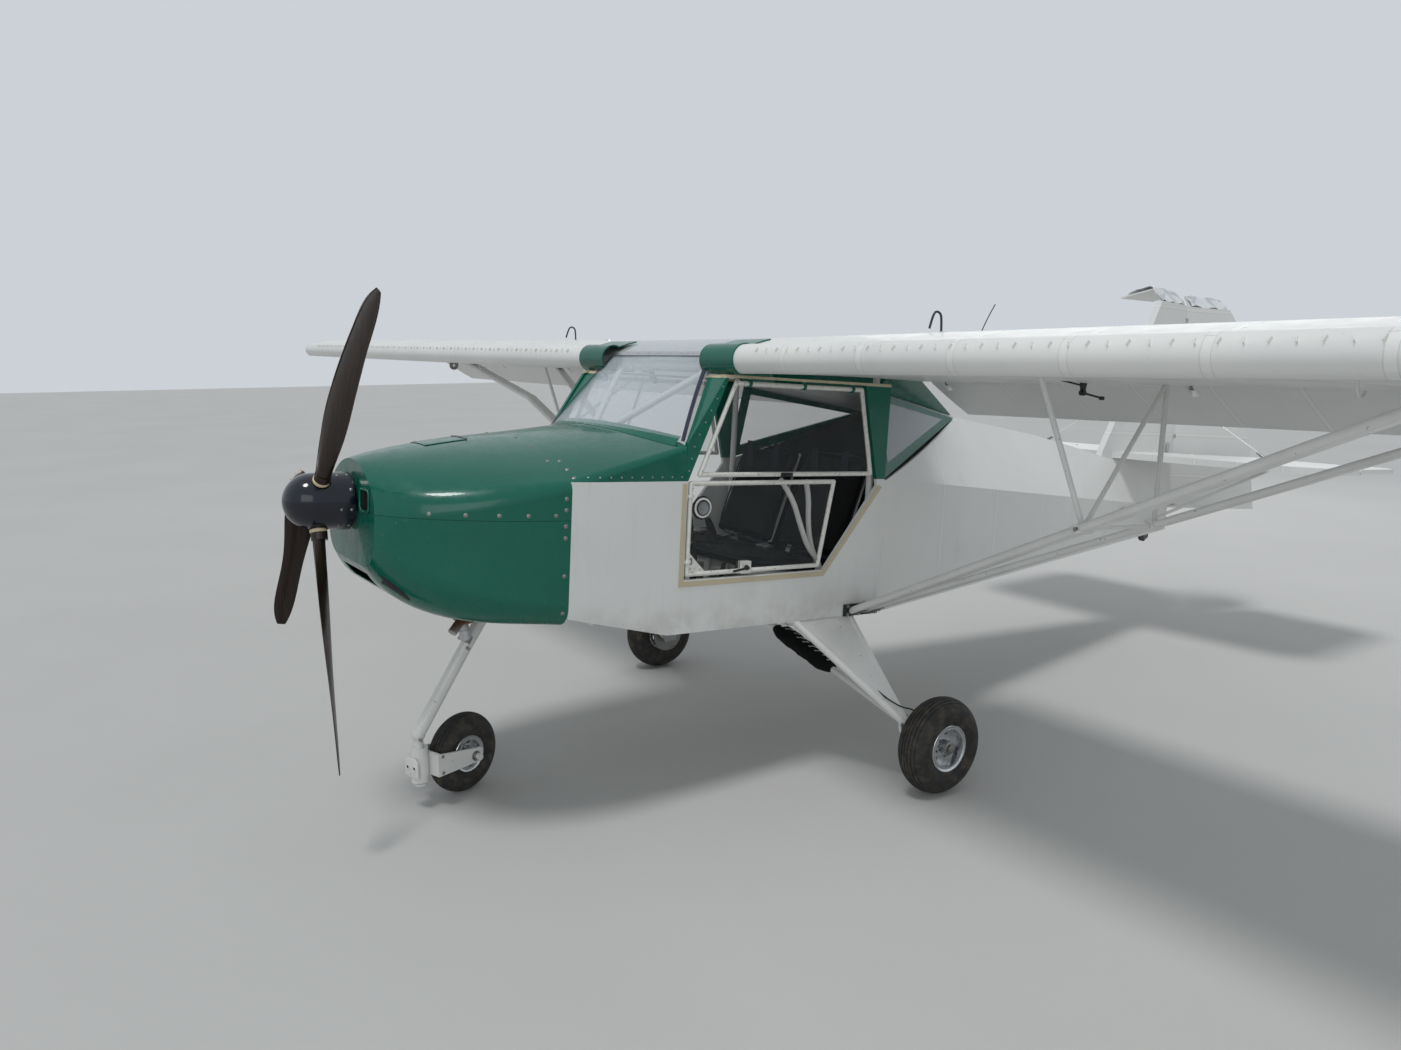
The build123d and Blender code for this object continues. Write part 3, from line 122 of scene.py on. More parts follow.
class Wire:
    """An output socket that takes part in sums."""

    def __init__(self, finish, socket):
        self.finish = finish
        self.socket = socket

    def sum(self, operation, a, b=None):
        values = {0: a} if b is None else {0: a, 1: b}
        return self.finish.node("ShaderNodeMath", {"operation": operation}, values)

    def __add__(self, other):
        return self.sum("ADD", self, other)

    def __sub__(self, other):
        return self.sum("SUBTRACT", self, other)

    def __rsub__(self, other):
        return self.sum("SUBTRACT", other, self)

    def __mul__(self, other):
        return self.sum("MULTIPLY", self, other)

    def __truediv__(self, other):
        return self.sum("DIVIDE", self, other)

    def __abs__(self):
        return self.sum("ABSOLUTE", self)

    __radd__ = __add__
    __rmul__ = __mul__

    def below(self, limit):
        return self.sum("LESS_THAN", self, limit)

    def above(self, limit):
        return self.sum("GREATER_THAN", self, limit)

    def least(self, other):
        return self.sum("MINIMUM", self, other)

    def smooth(self, low, high):
        """0 at low, 1 at high, eased between."""
        return self.finish.node("ShaderNodeMapRange", {"interpolation_type": "SMOOTHSTEP"},
                                {"Value": self, "From Min": low, "From Max": high})

    def off_line(self, spacing, start=0.0):
        """Distance to the nearest of a row of lines."""
        share = ((self - start) / spacing + 0.5).sum("FRACT", (self - start) / spacing + 0.5)
        return abs(share - 0.5) * spacing


class Finish:
    """One material, built node by node."""

    def __init__(self, name, colour, rough=0.5, metal=0.0, slot=None):
        self.material = bpy.data.materials.new(name)
        self.material.use_nodes = True
        self.tree = self.material.node_tree
        self.shader = self.tree.nodes["Principled BSDF"]
        self.slot = slot
        self.normal = None
        self.material.diffuse_color = colour
        self.give("Base Color", colour)
        self.give("Roughness", rough)
        self.give("Metallic", metal)

    def feed(self, socket, value):
        if isinstance(value, Wire):
            self.tree.links.new(value.socket, socket)
        else:
            socket.default_value = value

    def give(self, name, value):
        """Set a shader socket to a value or a wire."""
        self.feed(self.shader.inputs[name], value)
        return self

    def node(self, kind, settings=(), values=(), out=0):
        made = self.tree.nodes.new(kind)
        for key, value in dict(settings).items():
            if key == "stops":
                ramp = made.color_ramp
                while len(ramp.elements) < len(value):
                    ramp.elements.new(0.5)
                for element, (place, colour) in zip(ramp.elements, value):
                    element.position = place
                    element.color = colour
            else:
                setattr(made, key, value)
        for key, value in dict(values).items():
            self.feed(made.inputs[key], value)
        return Wire(self, made.outputs[out])

    def place(self):
        return self.node("ShaderNodeTexCoord", out=3)

    def stretched(self, scale):
        """Object coordinates stretched along their own axes."""
        return self.node("ShaderNodeMapping", {}, {"Vector": self.place(), "Scale": scale})

    def level(self, turn=(0, 0, 0), scale=(1, 1, 1)):
        """Object coordinates turned back to the level body frame, in metres."""
        flat = self.node("ShaderNodeMapping", {}, {
            "Vector": self.place(), "Location": LEVEL.to_translation(), "Rotation": LEVEL.to_euler()})
        if turn == (0, 0, 0) and scale == (1, 1, 1):
            return flat
        return self.node("ShaderNodeMapping", {}, {"Vector": flat, "Rotation": turn, "Scale": scale})

    def xyz(self, vector=None):
        made = self.node("ShaderNodeSeparateXYZ", {}, {0: vector or self.level()}).socket.node
        return [Wire(self, made.outputs[k]) for k in range(3)]

    def noise(self, scale, detail=3.0, rough=0.55, where=None):
        return self.node("ShaderNodeTexNoise", {}, {
            "Vector": where or self.level(), "Scale": scale, "Detail": detail, "Roughness": rough})

    def cells(self, scale, where=None, feature="F1"):
        return self.node("ShaderNodeTexVoronoi", {"feature": feature}, {
            "Vector": where or self.level(), "Scale": scale})

    def waves(self, scale, direction="X", distort=0.0, where=None):
        return self.node("ShaderNodeTexWave", {"wave_type": "BANDS", "bands_direction": direction}, {
            "Vector": where or self.level(), "Scale": scale, "Distortion": distort}, out=1)

    def mix(self, share, a, b):
        return self.node("ShaderNodeMix", {"data_type": "RGBA"}, {0: share, 6: a, 7: b}, out=2)

    def ramp(self, share, *stops):
        return self.node("ShaderNodeValToRGB", {"stops": stops}, {0: share})

    def bump(self, height, strength=0.3, distance=0.001):
        values = {"Height": height, "Strength": strength, "Distance": distance}
        if self.normal is not None:
            values["Normal"] = self.normal
        self.normal = self.node("ShaderNodeBump", {}, values)
        self.feed(self.shader.inputs["Normal"], self.normal)
        return self

    def colour(self, value):
        return self.give("Base Color", value)


# Modelling helpers

def fresh():
    """Leave edit mode and select nothing, so that the next operator acts on one piece alone."""
    if bpy.context.object and bpy.context.object.mode != "OBJECT":
        bpy.ops.object.mode_set(mode="OBJECT")
    bpy.ops.object.select_all(action="DESELECT")


def take(piece):
    """Make the piece the only one selected."""
    fresh()
    piece.select_set(True)
    bpy.context.view_layer.objects.active = piece
    return piece


def edit(piece, *steps):
    """Run edit-mode steps on the whole piece."""
    take(piece)
    bpy.ops.object.mode_set(mode="EDIT")
    bpy.ops.mesh.select_all(action="SELECT")
    for step in steps:
        step()
    bpy.ops.object.mode_set(mode="OBJECT")
    return piece


def settle(piece):
    """Put the piece's place into its mesh."""
    take(piece)
    bpy.ops.object.transform_apply(location=True, rotation=True, scale=True)
    return piece


def standing(centre, axis):
    """The place of something drawn along +Z that stands at a centre, along an axis."""
    return Matrix.Translation(centre) @ Vector(axis).to_track_quat("Z", "Y").to_matrix().to_4x4()


def turned_to(piece, centre, axis):
    """Stand a piece drawn along +Z at a centre, along an axis."""
    piece.matrix_world = standing(centre, axis)
    return settle(piece)


def twin_of(piece):
    """A copy with its own mesh."""
    twin = piece.copy()
    twin.data = piece.data.copy()
    bpy.context.scene.collection.objects.link(twin)
    return twin


def modify(piece, kind, **settings):
    """Add a modifier and apply it."""
    take(piece)
    made = piece.modifiers.new(kind.title(), kind)
    for key, value in settings.items():
        setattr(made, key, value)
    bpy.ops.object.modifier_apply(modifier=made.name)
    return piece


def outward():
    bpy.ops.mesh.normals_make_consistent(inside=False)


def weld(gap=0.00002):
    return lambda: bpy.ops.mesh.remove_doubles(threshold=gap)


def shares(count):
    """Even steps from 0 to 1."""
    return [k / count for k in range(count + 1)]


def between(start, end, share):
    """The point at a share of the way from start to end."""
    return [a + (b - a) * share for a, b in zip(start, end)]


def patch(rows, thickness=0.0, offset=0.0, smooth=0):
    """A sheet laid through rows of points, thickened if asked."""
    fresh()
    bpy.ops.mesh.primitive_grid_add(x_subdivisions=len(rows[0]) - 1, y_subdivisions=len(rows) - 1, size=1)
    piece = bpy.context.object
    for vertex, point in zip(piece.data.vertices, [p for row in rows for p in row]):
        vertex.co = point
    if thickness:
        modify(piece, "SOLIDIFY", thickness=thickness, offset=offset)
    if smooth:
        modify(piece, "SUBSURF", levels=smooth, render_levels=smooth)
    return piece


def break_edges(piece, width, segments=2):
    """Bevel the sharp edges of a piece."""
    return modify(piece, "BEVEL", width=width, segments=segments, limit_method="ANGLE")


def plate(corners, thickness, edge=0.0, offset=0.0):
    """A flat plate with any outline, its edges broken."""
    fresh()
    bpy.ops.mesh.primitive_circle_add(vertices=len(corners), fill_type="NGON")
    piece = bpy.context.object
    for vertex, point in zip(piece.data.vertices, corners):
        vertex.co = point
    modify(piece, "SOLIDIFY", thickness=thickness, offset=offset)
    if edge:
        break_edges(piece, edge)
    return edit(piece, outward)


def block(centre, size, edge=0.001, axis=None):
    """A box with broken edges, its own z along the axis."""
    fresh()
    bpy.ops.mesh.primitive_cube_add(size=1, scale=size)
    piece = settle(bpy.context.object)
    edit(piece, lambda: bpy.ops.mesh.bevel(offset=edge, segments=2, affect="EDGES"))
    if axis is None:
        piece.matrix_world = Matrix.Translation(centre) @ BODY.to_3x3().to_4x4()
        return settle(piece)
    return turned_to(piece, centre, axis)


def turned(profile, centre, axis, steps=32):
    """A closed profile of (radius, along) millimetres turned about an axis."""
    fresh()
    bpy.ops.mesh.primitive_circle_add(vertices=len(profile), fill_type="NOTHING")
    piece = bpy.context.object
    for vertex, (radius, along) in zip(piece.data.vertices, profile):
        vertex.co = (radius / 1000, 0, along / 1000)
    edit(piece, lambda: bpy.ops.mesh.spin(steps=steps, angle=math.tau, center=(0, 0, 0), axis=(0, 0, 1)),
         weld(), lambda: bpy.ops.mesh.dissolve_degenerate(threshold=0.00001), outward)
    return turned_to(piece, centre, axis)


def tube(points, radius, closed=False, smooth=False, rings=3):
    """A round bar or wire along points."""
    fresh()
    run = bpy.data.curves.new("run", "CURVE")
    run.dimensions = "3D"
    spline = run.splines.new("NURBS" if smooth else "POLY")
    spline.points.add(len(points) - 1)
    for knot, point in zip(spline.points, points):
        knot.co = (*point, 1)
    if smooth:
        spline.order_u = 3
        spline.use_endpoint_u = not closed
    spline.use_cyclic_u = closed
    run.resolution_u = 8
    run.bevel_depth = radius
    run.bevel_resolution = rings
    run.use_fill_caps = not closed
    piece = bpy.data.objects.new("run", run)
    bpy.context.scene.collection.objects.link(piece)
    take(piece)
    bpy.ops.object.convert(target="MESH")
    return bpy.context.object


def joined(pieces):
    """Several meshes made one."""
    fresh()
    for piece in pieces:
        piece.select_set(True)
    bpy.context.view_layer.objects.active = pieces[0]
    if len(pieces) > 1:
        bpy.ops.object.join()
    return bpy.context.object


def mirrored(piece):
    """A starboard twin of a port piece, with faces outwards."""
    twin = twin_of(piece)
    twin.scale = (1, -1, 1)
    return edit(settle(twin), outward)


def keep(piece, name, finish, body=AIRFRAME, smooth=35):
    """Name, smooth and dress a finished piece, and let it ride on its body, if it has one."""
    finish = F[finish]
    settle(piece)
    piece.name = name
    piece.data.name = name
    if smooth:
        bpy.ops.object.shade_smooth_by_angle(angle=math.radians(smooth))
    piece.data.materials.clear()
    piece.data.materials.append(finish.material)
    if body:
        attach(piece, body)
    return piece


# Wall of a cloth or of a doped covering
CLOTH_WALL = 0.0012


def cloth_sheet(rows, name, finish, body=AIRFRAME):
    """A kept sheet of cloth laid through rows of points, and its area in square metres."""
    piece = patch(rows, smooth=1)
    area = sum(face.area for face in piece.data.polygons)
    modify(piece, "SOLIDIFY", thickness=CLOTH_WALL, offset=0)
    return keep(edit(piece, outward), name, finish, body), area


def scatter(template, places, spin=0.0):
    """Copies of a small part, each standing at a place along a normal, made one mesh."""
    copies = []
    for centre, axis in places:
        copy = twin_of(template)
        copy.matrix_world = standing(centre, axis) @ Matrix.Rotation(spin * len(copies), 4, "Z")
        copies.append(copy)
    bpy.data.objects.remove(template)
    return settle(joined(copies))


# Every finish by its short name, and the search tree of each node's skin that was felt for
F = {}
_skins = {}


def touch(node, start, toward, lift=0.0):
    """Where a line from start meets a CAD node, and the way its skin faces there."""
    if node not in _skins:
        mesh = NODES[node].data
        faces = [p.vertices[:] for p in mesh.polygons]
        _skins[node] = BVHTree.FromPolygons([v.co for v in mesh.vertices], faces)
    toward = Vector(toward).normalized()
    hit, normal, _, _ = _skins[node].ray_cast(start, toward)
    if hit is None:
        raise RuntimeError(f"nothing of {node} is in the way from {tuple(start)}")
    if normal.dot(toward) > 0:
        normal = -normal
    return hit + normal * lift, normal


def rivet_head(radius=0.0024, height=0.0011):
    """A small domed head."""
    r, h = radius * 1000, height * 1000
    dome = [(0, -0.4), (r, -0.4), (r * 0.86, h * 0.6), (r * 0.4, h), (0, h)]
    return turned(dome, (0, 0, 0), (0, 0, 1), steps=8)


def screw_head(radius=0.0055):
    """A domed screw head on a cupped washer, with a socket."""
    r = radius * 1000
    washer = [(0, -0.5), (r * 1.5, -0.5), (r * 1.5, 0.4), (r * 1.1, 1.1)]
    dome = [(r, 1.3), (r * 0.9, 2.3), (r * 0.45, 2.8), (r * 0.4, 1.6), (0, 1.5)]
    return turned(washer + dome, (0, 0, 0), (0, 0, 1), steps=12)


def bolt_head(radius=0.0065, height=0.005):
    """A hexagon head on a washer."""
    r, h = radius * 1000, height * 1000
    washer = turned([(0, 0), (r * 1.45, 0), (r * 1.45, 1.2), (0, 1.2)], (0, 0, 0), (0, 0, 1), steps=16)
    fresh()
    bpy.ops.mesh.primitive_cylinder_add(vertices=6, radius=r / 1000, depth=h / 1000,
                                        location=(0, 0, 0.0012 + h / 2000))
    head = settle(bpy.context.object)
    break_edges(head, 0.0006, 1)
    return joined([washer, head])


# Sizes and colours that a user may change

class AircraftSizes(bpy.types.PropertyGroup):
    """Sizes of the small parts."""
    rivet_radius: bpy.props.FloatProperty(
        name="Rivet radius", description="Radius of the rivets in the screen strips", default=0.0024,
        min=0.001, max=0.006, unit="LENGTH")
    rivet_pitch: bpy.props.FloatProperty(
        name="Rivet pitch", description="Distance between rivets", default=0.055,
        min=0.02, max=0.2, unit="LENGTH")
    screw_radius: bpy.props.FloatProperty(
        name="Screw radius", description="Radius of the cowling screws", default=0.0045,
        min=0.002, max=0.01, unit="LENGTH")
    vane_pitch: bpy.props.FloatProperty(
        name="Vane pitch", description="Distance between the vortex vanes on the wing", default=0.0505,
        min=0.04, max=0.3, unit="LENGTH")
    groove_depth: bpy.props.FloatProperty(
        name="Groove depth", description="Depth of the tyre grooves", default=0.0035,
        min=0.0, max=0.008, unit="LENGTH")
    cushion_swell: bpy.props.FloatProperty(
        name="Cushion swell", description="Most that a seat cushion swells", default=0.012,
        min=0.0, max=0.03, unit="LENGTH")


class AircraftColours(bpy.types.PropertyGroup):
    """Colours of the finishes."""
    green: bpy.props.FloatVectorProperty(
        name="Green", description="Paint of the nose and trim", default=srgb(0, 94, 76),
        size=4, subtype="COLOR", min=0, max=1)
    white: bpy.props.FloatVectorProperty(
        name="White", description="Paint of the cabin sides", default=srgb(222, 224, 222),
        size=4, subtype="COLOR", min=0, max=1)
    fabric: bpy.props.FloatVectorProperty(
        name="Fabric", description="Covering of wings, tail and rear fuselage", default=srgb(226, 227, 224),
        size=4, subtype="COLOR", min=0, max=1)
    cream: bpy.props.FloatVectorProperty(
        name="Cream", description="Rails over the doors", default=srgb(196, 184, 156),
        size=4, subtype="COLOR", min=0, max=1)
    navy: bpy.props.FloatVectorProperty(
        name="Navy", description="Spinner", default=srgb(14, 20, 34),
        size=4, subtype="COLOR", min=0, max=1)
    wood: bpy.props.FloatVectorProperty(
        name="Wood", description="Propeller blades", default=srgb(32, 23, 20),
        size=4, subtype="COLOR", min=0, max=1)


# Finishes

def green_paint(colour):
    """Gloss paint on moulded skin: slight ripple, fine flake, dust low down and stone chips at the nose."""
    f = Finish("green_paint", colour, 0.3, slot="green_paint")
    ripple = f.noise(7, 2)
    speck = f.cells(420).smooth(0.0, 0.5)
    tone = f.mix(f.noise(3.2, 4).smooth(0.3, 0.75) * 0.4, colour, shade(colour, 0.7))
    f.give("Specular IOR Level", 0.25)
    tone = f.mix((1 - speck) * 0.1, tone, srgb(0, 132, 112))
    x, _, z = f.xyz()
    chip = f.noise(170, 2).above(0.735) * x.smooth(1.55, 1.75)
    dirt = (1 - z.smooth(0.55, 0.78)) * f.noise(14, 5).smooth(0.45, 0.75) * 0.2
    tone = f.mix(dirt, tone, srgb(112, 104, 88))
    f.colour(f.mix(chip * 0.8, tone, srgb(168, 172, 166)))
    f.give("Roughness", 0.2 + f.noise(22, 4).smooth(0.3, 0.8) * 0.16 + dirt * 0.5)
    f.give("Coat Weight", 0.35 - dirt)
    f.give("Coat Roughness", 0.06)
    f.bump(ripple, 0.12, 0.02).bump(f.noise(900, 1), 0.04, 0.0005)
    return f


def white_panels(colour):
    """Painted flat panels: faint brush of dirt and a darker lower edge."""
    f = Finish("white_panels", colour, 0.4, slot="white_metal")
    z = f.xyz()[2]
    tone = f.mix(f.noise(2.6, 4).smooth(0.35, 0.7) * 0.4, colour, srgb(212, 214, 212))
    streak = f.noise(1.0, 4, where=f.level(scale=(55, 55, 3.0))).smooth(0.55, 0.8)
    low = (1 - z.smooth(0.56, 0.72)) * 0.55
    grime = (streak * 0.07 + low * f.noise(11, 5).smooth(0.3, 0.7) * 0.6).least(0.8)
    f.colour(f.mix(grime, tone, srgb(136, 128, 112)))
    f.give("Roughness", 0.34 + grime * 0.4 + f.noise(30, 3) * 0.1)
    f.give("Coat Weight", 0.25)
    f.bump(f.noise(4.5, 2), 0.10, 0.02).bump(f.noise(600, 2), 0.05, 0.0006)
    return f


def covering(name, colour, axis, spacing, start, tape=0.012, sag=0.5, tip=None):
    """Painted fabric: weave, doped tapes over the ribs with a painted shade line along their edges, and cloth
    that sinks a little between them.
    """
    f = Finish(name, colour, 0.42, slot="white_fabric")
    coords = f.xyz()
    off = coords[axis].off_line(spacing, start)
    flat = f.level()
    along, across, upright = [f.waves(520, direction, 0.3, flat) for direction in "XYZ"]
    weave = (along + across + upright) * 0.33
    tone = f.mix(f.noise(1.8, 4).smooth(0.3, 0.75) * 0.5, colour, srgb(210, 212, 211))
    taped = 1 - off.smooth(tape * 0.8, tape)
    tone = f.mix(taped * 0.35, tone, srgb(236, 236, 232))
    # Painted shade: a thin grey line along each edge of a rib tape
    edge = (1 - abs(off - tape).smooth(0.0, 0.002)) * 0.3
    spots = f.cells(26).smooth(0.0, 0.06)
    stain = f.noise(3.5, 6, 0.65).smooth(0.6, 0.85) * 0.35
    tone = f.mix(stain, tone, srgb(172, 166, 150))
    tone = f.mix((1 - spots) * 0.35, tone, srgb(120, 112, 96))
    # The painted shade line along the tape edges goes on here
    tone = f.mix(edge, tone, srgb(150, 150, 146))
    f.colour(f.mix(abs(coords[1]).above(tip), tone, srgb(0, 88, 70)) if tip else tone)
    f.give("Roughness", 0.36 + f.noise(16, 4).smooth(0.3, 0.8) * 0.18)
    f.give("Coat Weight", 0.12)
    belly = off.smooth(0.0, spacing / 2)
    f.bump(belly * -1.0, sag, 0.004).bump(taped, 0.35, 0.0008).bump(weave, 0.14, 0.0003)
    f.bump(f.noise(5, 3), 0.12, 0.01)
    return f


def clear_sheet(name, tint, alpha, haze=0.06, wrinkle=0.1, glare=0.55):
    """Flexible clear sheet: thin tint, hazy scratches and a long ripple; at grazing angles the pale tint
    grows more opaque, a painted reflection over the sheet's real gloss.
    """
    f = Finish(name, tint, 0.08, slot="clear_sheet")
    fresnel = f.node("ShaderNodeLayerWeight", {}, {"Blend": 0.35}, out=1)
    scratch = f.noise(1, 3, where=f.level(turn=(0.4, 0.2, 0.9), scale=(9, 160, 160))).smooth(0.6, 0.72)
    dust = f.noise(46, 5, 0.7).smooth(0.55, 0.8)
    # Fresnel times glare: partly real gloss, partly painted reflection carried by the pale tint
    see = (fresnel * glare + alpha + scratch * haze + dust * haze).least(0.92)
    f.colour(f.mix(dust * 0.5, tint, srgb(206, 208, 204)))
    f.give("Alpha", see)
    f.give("Roughness", 0.05 + dust * 0.25 + scratch * 0.1)
    f.give("IOR", 1.5)
    f.bump(f.noise(5.5, 3), wrinkle, 0.02)
    return f


def door_finish(name, outline, tube_colour):
    """White tube round a clear sheet: the sheet is what lies inside the tube's line and is thin."""
    f = Finish(name, tube_colour, 0.35, slot="clear_sheet")
    x, y, z = f.xyz()
    inside = None
    middle = [sum(p[k] for p in outline) / len(outline) for k in (0, 1)]
    for (x0, z0), (x1, z1) in zip(outline, outline[1:] + outline[:1]):
        length = math.hypot(x1 - x0, z1 - z0)
        nx, nz = (z0 - z1) / length, (x1 - x0) / length
        reach = -(nx * x0 + nz * z0)
        if nx * middle[0] + nz * middle[1] + reach < 0:
            nx, nz, reach = -nx, -nz, -reach
        side = x * nx + z * nz + reach / 1000
        inside = side if inside is None else inside.least(side)
    sheet = inside.above(0.0083) * abs(abs(y) - 0.492).below(0.0019)
    fresnel = f.node("ShaderNodeLayerWeight", {}, {"Blend": 0.3}, out=1)
    dust = f.noise(60, 5, 0.7).smooth(0.5, 0.8)
    scratch = f.noise(1, 3, where=f.level(turn=(0.2, 0.1, 0.5), scale=(130, 130, 8))).smooth(0.6, 0.74)
    see = (fresnel * 0.22 + 0.03 + dust * 0.04 + scratch * 0.04).least(0.9)
    paint = f.mix(f.noise(40, 3).smooth(0.4, 0.7) * 0.3, tube_colour, srgb(188, 184, 172))
    scuff = f.noise(85, 4).above(0.66) * 0.5
    paint = f.mix(scuff, paint, srgb(120, 122, 124))
    f.colour(f.mix(sheet, paint, f.mix(dust * 0.4, srgb(118, 126, 128), srgb(176, 174, 166))))
    f.give("Alpha", 1 - sheet + sheet * see)
    f.give("Roughness", 0.34 - sheet * 0.28 + dust * 0.15)
    f.bump(f.noise(6, 3) * sheet, 0.12, 0.02).bump(f.noise(300, 2), 0.05, 0.0004)
    return f


def brushed(name, colour, rough, slot, scale=(240, 14, 240), stain=0.3, stain_colour=(0.09, 0.07, 0.05, 1)):
    """Bare metal with the lay of its finish, fingerprints and a little stain."""
    f = Finish(name, colour, rough, 1.0, slot)
    lay = f.noise(1, 3, where=f.level(scale=scale))
    smudge = f.noise(34, 5).smooth(0.52, 0.8)
    tone = f.mix(lay.smooth(0.3, 0.7) * 0.4, colour, shade(colour, 0.75))
    f.colour(f.mix(smudge * stain, tone, stain_colour))
    f.give("Roughness", rough + lay * 0.14 + smudge * 0.22)
    f.give("Metallic", 1 - smudge * stain)
    f.bump(lay, 0.06, 0.0005)
    return f


def tube_paint(name, colour, slot="white_metal"):
    """Sprayed tube: even enamel with rubbed spots down to metal."""
    f = Finish(name, colour, 0.34, slot=slot)
    worn = f.noise(70, 4, 0.6).above(0.69)
    soft = f.noise(9, 4).smooth(0.35, 0.75)
    tone = f.mix(soft * 0.4, colour, shade(colour, 0.82))
    f.colour(f.mix(worn * 0.7, tone, srgb(128, 126, 120)))
    f.give("Roughness", 0.28 + soft * 0.2)
    f.give("Coat Weight", 0.3)
    f.bump(f.noise(260, 3), 0.08, 0.0005).bump(worn * -1.0, 0.2, 0.0003)
    return f


def rubber(name="tyre_rubber"):
    """Tyre: near-black rubber with patchy dust and a faintly uneven tone."""
    f = Finish(name, srgb(26, 26, 27), 0.8, slot="tyre_rubber")
    dust = f.noise(28, 5, 0.65).smooth(0.4, 0.75)
    f.colour(f.mix(dust * 0.5, f.mix(f.noise(6, 3), srgb(24, 24, 25), srgb(40, 39, 38)), srgb(104, 97, 84)))
    f.give("Roughness", 0.72 + dust * 0.2)
    f.bump(f.noise(420, 3), 0.25, 0.0006).bump(f.noise(60, 3), 0.1, 0.002)
    return f


def black_cloth(name="black_cloth", colour=None):
    """Woven nylon: a plain weave at thread scale, sun-greyed and linty; its black is set darker than the
    cloth's own, partly as painted shade for the inside of the cabin.
    """
    # Partly painted shade: the default near-black is darker than the cloth alone
    colour = colour or srgb(13, 13, 15)
    f = Finish(name, colour, 0.86, slot="black_cloth")
    weave = f.waves(300, "X", 0.6) * f.waves(300, "Z", 0.6) + f.waves(300, "Y", 0.6) * 0.5
    worn = f.noise(12, 5).smooth(0.45, 0.8)
    tone = f.mix(worn * 0.6, colour, shade(colour, 2.2, 0.006))
    f.colour(f.mix(weave.smooth(0.2, 0.9) * 0.15, tone, shade(colour, 0.45)))
    f.give("Roughness", 0.8 + worn * 0.15)
    f.give("Specular IOR Level", 0.2)
    f.bump(weave, 0.15, 0.0004).bump(f.noise(45, 4), 0.25, 0.003)
    return f


def plastic(name, colour, slot="panel_black", rough=0.5, grain=700):
    """Moulded plastic with a fine leather grain and polished spots where hands rub."""
    f = Finish(name, colour, rough, slot=slot)
    rub = f.noise(20, 4).smooth(0.45, 0.75)
    f.colour(f.mix(rub * 0.4, colour, shade(colour, 1.5, 0.01)))
    f.give("Roughness", rough - rub * 0.12 + 0.04)
    f.bump(f.cells(grain), 0.12, 0.0004)
    return f


def blade_finish(colour):
    """Lacquered laminate: long layers and a stretched grain."""
    f = Finish("blade_laminate", colour, 0.35, slot="blade_laminate")
    layers = f.noise(1, 3, where=f.stretched((260, 12, 12)))
    grain = f.noise(1, 5, where=f.stretched((420, 30, 30)))
    tone = f.mix(layers.smooth(0.35, 0.65) * 0.4, colour, srgb(66, 44, 28))
    tone = f.mix(grain.smooth(0.55, 0.7) * 0.4, tone, srgb(28, 19, 14))
    f.colour(tone)
    f.give("Roughness", 0.24 + grain * 0.22)
    f.give("Coat Weight", 0.15)
    f.give("Specular IOR Level", 0.3)
    f.bump(grain, 0.15, 0.0008)
    return f


def heated(name="exhaust_steel"):
    """Exhaust steel: brown scale with straw and blue where it ran hot, bright at the tail pipe."""
    f = Finish(name, srgb(104, 78, 60), 0.6, 0.7, "steel")
    z = f.xyz()[2]
    crust = f.noise(26, 6, 0.65)
    tone = f.ramp(crust, (0.3, srgb(70, 48, 36)), (0.5, srgb(120, 86, 60)), (0.62, srgb(96, 88, 92)),
                  (0.75, srgb(150, 140, 126)))
    bright = 1 - z.smooth(0.52, 0.575)
    f.colour(f.mix(bright, tone, srgb(196, 198, 200)))
    f.give("Roughness", 0.62 - bright * 0.25)
    f.give("Metallic", 0.45 + bright * 0.5)
    f.bump(crust, 0.3, 0.0012)
    return f


def cast_metal(name="engine_metal"):
    """Sand-cast alloy painted dark, with patches of oil."""
    f = Finish(name, srgb(54, 56, 58), 0.55, 0.6, "engine_block")
    oil = f.noise(17, 5).smooth(0.5, 0.75)
    f.colour(f.mix(oil * 0.7, f.mix(f.noise(90, 3), srgb(48, 50, 52), srgb(76, 78, 80)), srgb(20, 17, 13)))
    f.give("Roughness", 0.6 - oil * 0.3)
    f.bump(f.noise(240, 4), 0.4, 0.001)
    return f


def crumpled(name, colour):
    """Fabric that has been folded: sharp creases over the weave, painted bluish shade over the cloth and
    darker painted shade in the creases.
    """
    f = Finish(name, colour, 0.5, slot="white_fabric")
    crease = f.cells(9, feature="DISTANCE_TO_EDGE").smooth(0.0, 0.16)
    fine = f.cells(34, feature="DISTANCE_TO_EDGE").smooth(0.0, 0.12)
    # Painted shade: patches of a cool bluish grey over the cloth
    tone = f.mix(f.noise(6, 4), colour, srgb(196, 202, 210))
    # Painted shade: darker bluish grey in the creases
    f.colour(f.mix((1 - crease) * 0.5, tone, srgb(150, 158, 172)))
    f.give("Roughness", 0.44 + f.noise(30, 3) * 0.2)
    f.bump(crease, 0.5, 0.006).bump(fine, 0.3, 0.002)
    f.bump(f.waves(520, "X") + f.waves(520, "Z"), 0.12, 0.0003)
    return f


